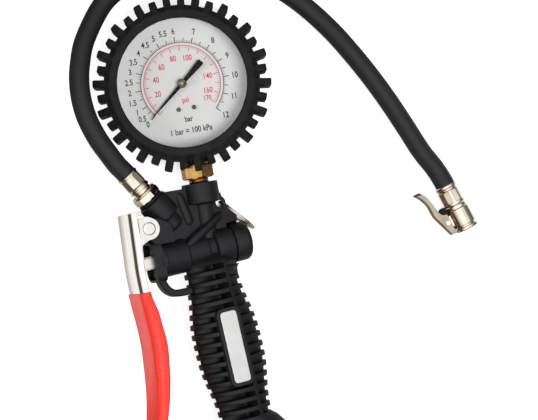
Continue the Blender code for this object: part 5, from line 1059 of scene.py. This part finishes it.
def floor(settings):
    """Plain pale floor that glows to the camera; mirrors see a card round the object, with a painted shadow
    right under it.
    """
    material, tree, shader = finish("pale_floor", settings.floor, 0.9)
    rays = node(tree, "ShaderNodeLightPath")
    place = node(tree, "ShaderNodeMapping", {"Vector": node(tree, "ShaderNodeTexCoord").outputs["Object"],
                                             "Location": (-CARD_PLACE[0], -CARD_PLACE[1],
                                                          0)}).outputs["Vector"]
    far = node(tree, "ShaderNodeVectorMath", {0: place}, operation="LENGTH").outputs["Value"]
    card = graded(tree, far, [(CARD_R, (1.0,) * 3), (CARD_END, (0.10,) * 3)])
    along = node(tree, "ShaderNodeSeparateXYZ", {0: place}).outputs["X"]
    side = node(tree, "ShaderNodeMath", {0: along}, operation="ABSOLUTE").outputs[0]
    # Painted shadow: mirrors see the floor darker in a band under the object, in place of the object's own
    # shadow there
    under = graded(tree, side, [(PAINTED_SHADOW_HALF_W, settings.under), (PAINTED_SHADOW_END, (0.98, 0.97, 0.95))])
    card = node(tree, "ShaderNodeMix", {0: 1.0, 6: card, 7: under}, data_type="RGBA", blend_type="MULTIPLY")
    seen = node(tree, "ShaderNodeMath", {0: rays.outputs["Is Camera Ray"],
                                         1: rays.outputs["Is Transmission Ray"]}, operation="MAXIMUM")
    glow = node(tree, "ShaderNodeMath", {0: seen.outputs[0], 1: settings.floor_glow}, operation="MULTIPLY")
    shader.inputs["Emission Color"].default_value = (1, 1, 1, 1)
    tree.links.new(glow.outputs[0], shader.inputs["Emission Strength"])
    mirrored = node(tree, "ShaderNodeEmission", {"Color": card.outputs[2]})
    both = node(tree, "ShaderNodeMixShader", {0: rays.outputs["Is Glossy Ray"], 1: shader.outputs[0],
                                              2: mirrored.outputs[0]})
    tree.links.new(both.outputs[0], tree.nodes["Material Output"].inputs["Surface"])
    mesh = bpy.data.meshes.new("floor")
    mesh.from_pydata([(-4, -4, 0), (4, -4, 0), (4, 4, 0), (-4, 4, 0)], [], [(0, 1, 2, 3)])
    mesh.materials.append(material)
    ground = bpy.data.objects.new("floor", mesh)
    bpy.context.scene.collection.objects.link(ground)


def lamp(name, place, power, size):
    """Square soft box aimed at the object's middle, and kept out of mirrors."""
    light = bpy.data.lights.new(name, "AREA")
    light.energy, light.size = power, size
    holder = bpy.data.objects.new(name, light)
    way = np.array(place) - AIM
    way /= np.linalg.norm(way)
    side = np.cross((0, 1, 0), way)
    side /= np.linalg.norm(side)
    holder.matrix_world = Matrix(axes(place, side, way).tolist())
    holder.visible_glossy = False
    bpy.context.scene.collection.objects.link(holder)


def camera():
    """Nearly straight above the object, a little turned, on a long lens."""
    back = np.array(CAMERA_BACK)
    back /= np.linalg.norm(back)
    up = np.array([0, 1, 0]) - back[1] * back
    up /= np.linalg.norm(up)
    up = math.cos(CAMERA_ROLL) * up + math.sin(CAMERA_ROLL) * np.cross(up, back)
    lens = bpy.data.cameras.new("camera")
    lens.lens, lens.sensor_width, lens.clip_end = CAMERA_LENS, CAMERA_FILM, 10
    holder = bpy.data.objects.new("camera", lens)
    holder.matrix_world = Matrix(axes(CAMERA_PLACE, np.cross(up, back), back).tolist())
    bpy.context.scene.collection.objects.link(holder)
    bpy.context.scene.camera = holder


# --- Settings -------------------------------------------------------------------------------------------
class GaugeSettings(bpy.types.PropertyGroup):
    rib_count: bpy.props.IntProperty(name="Ribs", description="Ribs round the boot, long and short in turn",
                                     default=36)
    rib_long: bpy.props.FloatProperty(name="Long rib", description="How far a long rib stands out",
                                      default=0.0063, unit="LENGTH", precision=4)
    rib_short: bpy.props.FloatProperty(name="Short rib", description="How far a short rib stands out",
                                       default=0.0043, unit="LENGTH", precision=4)
    rib_width: bpy.props.FloatProperty(name="Rib width", description="Width of a rib", default=0.0037,
                                       unit="LENGTH", precision=4)


class BodySettings(bpy.types.PropertyGroup):
    fin_depth: bpy.props.FloatProperty(name="Slot depth",
                                       description="Depth of the grip's slots at their middle",
                                       default=0.0088, unit="LENGTH", precision=4)
    spine_width: bpy.props.FloatProperty(name="Spine width",
                                         description="Width of the spine between the slots", default=0.0030,
                                         unit="LENGTH", precision=4)
    lever_bend: bpy.props.FloatProperty(name="Lever bend", description="Outer radius of the lever's near bend",
                                        default=0.0042, unit="LENGTH", precision=4)
    sleeve_thickness: bpy.props.FloatProperty(name="Sleeve wall", description="Wall of the red sleeve",
                                              default=0.0006, unit="LENGTH", precision=4)
    crimp_count: bpy.props.IntProperty(name="Crimps", description="Flats pressed into each ferrule",
                                       default=8)


class ColourSettings(bpy.types.PropertyGroup):
    nylon: bpy.props.FloatVectorProperty(name="Nylon", description="Body moulding", subtype="COLOR_GAMMA",
                                         size=3, default=srgb("#17181A"), min=0, max=1)
    rubber: bpy.props.FloatVectorProperty(name="Boot rubber", description="Boot and seals",
                                          subtype="COLOR_GAMMA", size=3, default=srgb("#141415"), min=0,
                                          max=1)
    hose: bpy.props.FloatVectorProperty(name="Hose rubber", description="Hose cover", subtype="COLOR_GAMMA",
                                        size=3, default=srgb("#1D1E1F"), min=0, max=1)
    sleeve: bpy.props.FloatVectorProperty(name="Sleeve", description="Red PVC sleeve", subtype="COLOR_GAMMA",
                                          size=3, default=srgb("#ED3021"), min=0, max=1)


class StageSettings(bpy.types.PropertyGroup):
    key_light: bpy.props.FloatProperty(name="Key", description="Power of the main soft box", default=9.5,
                                       unit="POWER")
    fill_light: bpy.props.FloatProperty(name="Fill", description="Even light from all round", default=0.34)
    floor: bpy.props.FloatVectorProperty(name="Floor", description="Colour of the floor",
                                         subtype="COLOR_GAMMA", size=3, default=srgb("#D6D6D6"), min=0, max=1)
    floor_glow: bpy.props.FloatProperty(name="Floor glow", description="Lift of the floor towards white",
                                        default=0.74)
    # Colour of the painted shadow that mirrors see on the floor under the object
    under: bpy.props.FloatVectorProperty(name="Under",
                                         description="What mirrors see of the floor under the object",
                                         subtype="COLOR", size=3, default=(0.40, 0.36, 0.31), min=0, max=1)
    left_wall: bpy.props.FloatVectorProperty(name="Left wall", description="What mirrors see low on the left",
                                             subtype="COLOR", size=3, default=(0.070, 0.050, 0.033), min=0,
                                             max=1)
    right_wall: bpy.props.FloatVectorProperty(name="Right wall",
                                              description="What mirrors see low on the right",
                                              subtype="COLOR", size=3, default=(0.240, 0.220, 0.195), min=0,
                                              max=1)


# --- Operators ------------------------------------------------------------------------------------------
class INFLATOR_OT_stage(bpy.types.Operator):
    """Camera, floor, soft boxes and world"""
    bl_idname = "inflator.stage"
    bl_label = "Stage"

    def execute(self, context):
        settings = context.scene.inflator_stage
        camera()
        studio_world(settings)
        floor(settings)
        lamp("key_light", KEY_PLACE, settings.key_light, KEY_SIZE)
        lamp("side_light", SIDE_PLACE, settings.key_light * SIDE_SHARE, SIDE_SIZE)
        context.scene.view_settings.view_transform = "Standard"
        return {"FINISHED"}


class INFLATOR_OT_hose(bpy.types.Operator):
    """Chuck with its clip, and the hose that ends in it"""
    bl_idname = "inflator.hose"
    bl_label = "Hose and chuck"

    def execute(self, context):
        look, settings = finishes(context.scene.inflator_colours), context.scene.inflator_body
        on_the_end = chuck(look, settings) + clip(look) + [frame["nodes"]["chuck_tail"]]
        hose(look, on_the_end)
        return {"FINISHED"}


class INFLATOR_OT_fittings(bpy.types.Operator):
    """Fittings that join the hose to the body"""
    bl_idname = "inflator.fittings"
    bl_label = "Hose fittings"

    def execute(self, context):
        hose_fittings(finishes(context.scene.inflator_colours), context.scene.inflator_body)
        return {"FINISHED"}


class INFLATOR_OT_gauge(bpy.types.Operator):
    """Ribbed boot, window, hub and brass stem"""
    bl_idname = "inflator.gauge"
    bl_label = "Gauge"

    def execute(self, context):
        look = finishes(context.scene.inflator_colours)
        gauge_boot(look, context.scene.inflator_gauge)
        gauge_front(look)
        gauge_pointer(look)
        gauge_stem(look)
        return {"FINISHED"}


class INFLATOR_OT_dial(bpy.types.Operator):
    """Printed scales and numbers"""
    bl_idname = "inflator.dial"
    bl_label = "Dial print"

    def execute(self, context):
        dial_print(finishes(context.scene.inflator_colours))
        return {"FINISHED"}


class INFLATOR_OT_handle(bpy.types.Operator):
    """Finned handle with its plate"""
    bl_idname = "inflator.handle"
    bl_label = "Handle"

    def execute(self, context):
        look = finishes(context.scene.inflator_colours)
        handle(look, context.scene.inflator_body)
        plate_and_frame(look)
        return {"FINISHED"}


class INFLATOR_OT_housing(bpy.types.Operator):
    """Valve housing, collar, port, loop, eyelet and cap"""
    bl_idname = "inflator.housing"
    bl_label = "Housing"

    def execute(self, context):
        look = finishes(context.scene.inflator_colours)
        housing(look)
        boss_and_port(look)
        loop_and_eyelet(look)
        rear_cap(look)
        return {"FINISHED"}


class INFLATOR_OT_trigger(bpy.types.Operator):
    """Lever, sleeve, rivet and the plunger it pushes"""
    bl_idname = "inflator.trigger"
    bl_label = "Trigger"

    def execute(self, context):
        look, settings = finishes(context.scene.inflator_colours), context.scene.inflator_body
        lever(look, settings)
        sleeve(look, settings)
        rivet(look)
        plunger(look)
        return {"FINISHED"}


class INFLATOR_OT_small_parts(bpy.types.Operator):
    """Hanging ring, inlet bush and plug, and the finishes of what stays from the frame"""
    bl_idname = "inflator.small_parts"
    bl_label = "Small parts"

    def execute(self, context):
        look = finishes(context.scene.inflator_colours)
        hanging_ring(look)
        inlet(look)
        kept_nodes(look)
        return {"FINISHED"}


class INFLATOR_PT_panel(bpy.types.Panel):
    """Sidebar list of the inflator's pieces"""
    bl_label = "Tyre Inflator"
    bl_space_type = "VIEW_3D"
    bl_region_type = "UI"
    bl_category = "Inflator"

    def draw(self, context):
        for operator in OPERATORS:
            self.layout.operator(operator.bl_idname)


OPERATORS = (INFLATOR_OT_stage, INFLATOR_OT_hose, INFLATOR_OT_fittings, INFLATOR_OT_gauge, INFLATOR_OT_dial,
             INFLATOR_OT_handle, INFLATOR_OT_housing, INFLATOR_OT_trigger, INFLATOR_OT_small_parts)
GROUPS = {"inflator_gauge": GaugeSettings, "inflator_body": BodySettings, "inflator_colours": ColourSettings,
          "inflator_stage": StageSettings}


def register():
    for item in (*GROUPS.values(), *OPERATORS, INFLATOR_PT_panel):
        bpy.utils.register_class(item)
    for name, group in GROUPS.items():
        setattr(bpy.types.Scene, name, bpy.props.PointerProperty(type=group))


def unregister():
    for name in GROUPS:
        delattr(bpy.types.Scene, name)
    for item in (INFLATOR_PT_panel, *OPERATORS, *GROUPS.values()):
        bpy.utils.unregister_class(item)


def main():
    """Register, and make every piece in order."""
    register()
    for operator in OPERATORS:
        group, name = operator.bl_idname.split(".")
        getattr(getattr(bpy.ops, group), name)()


if __name__ == "__main__":
    main()
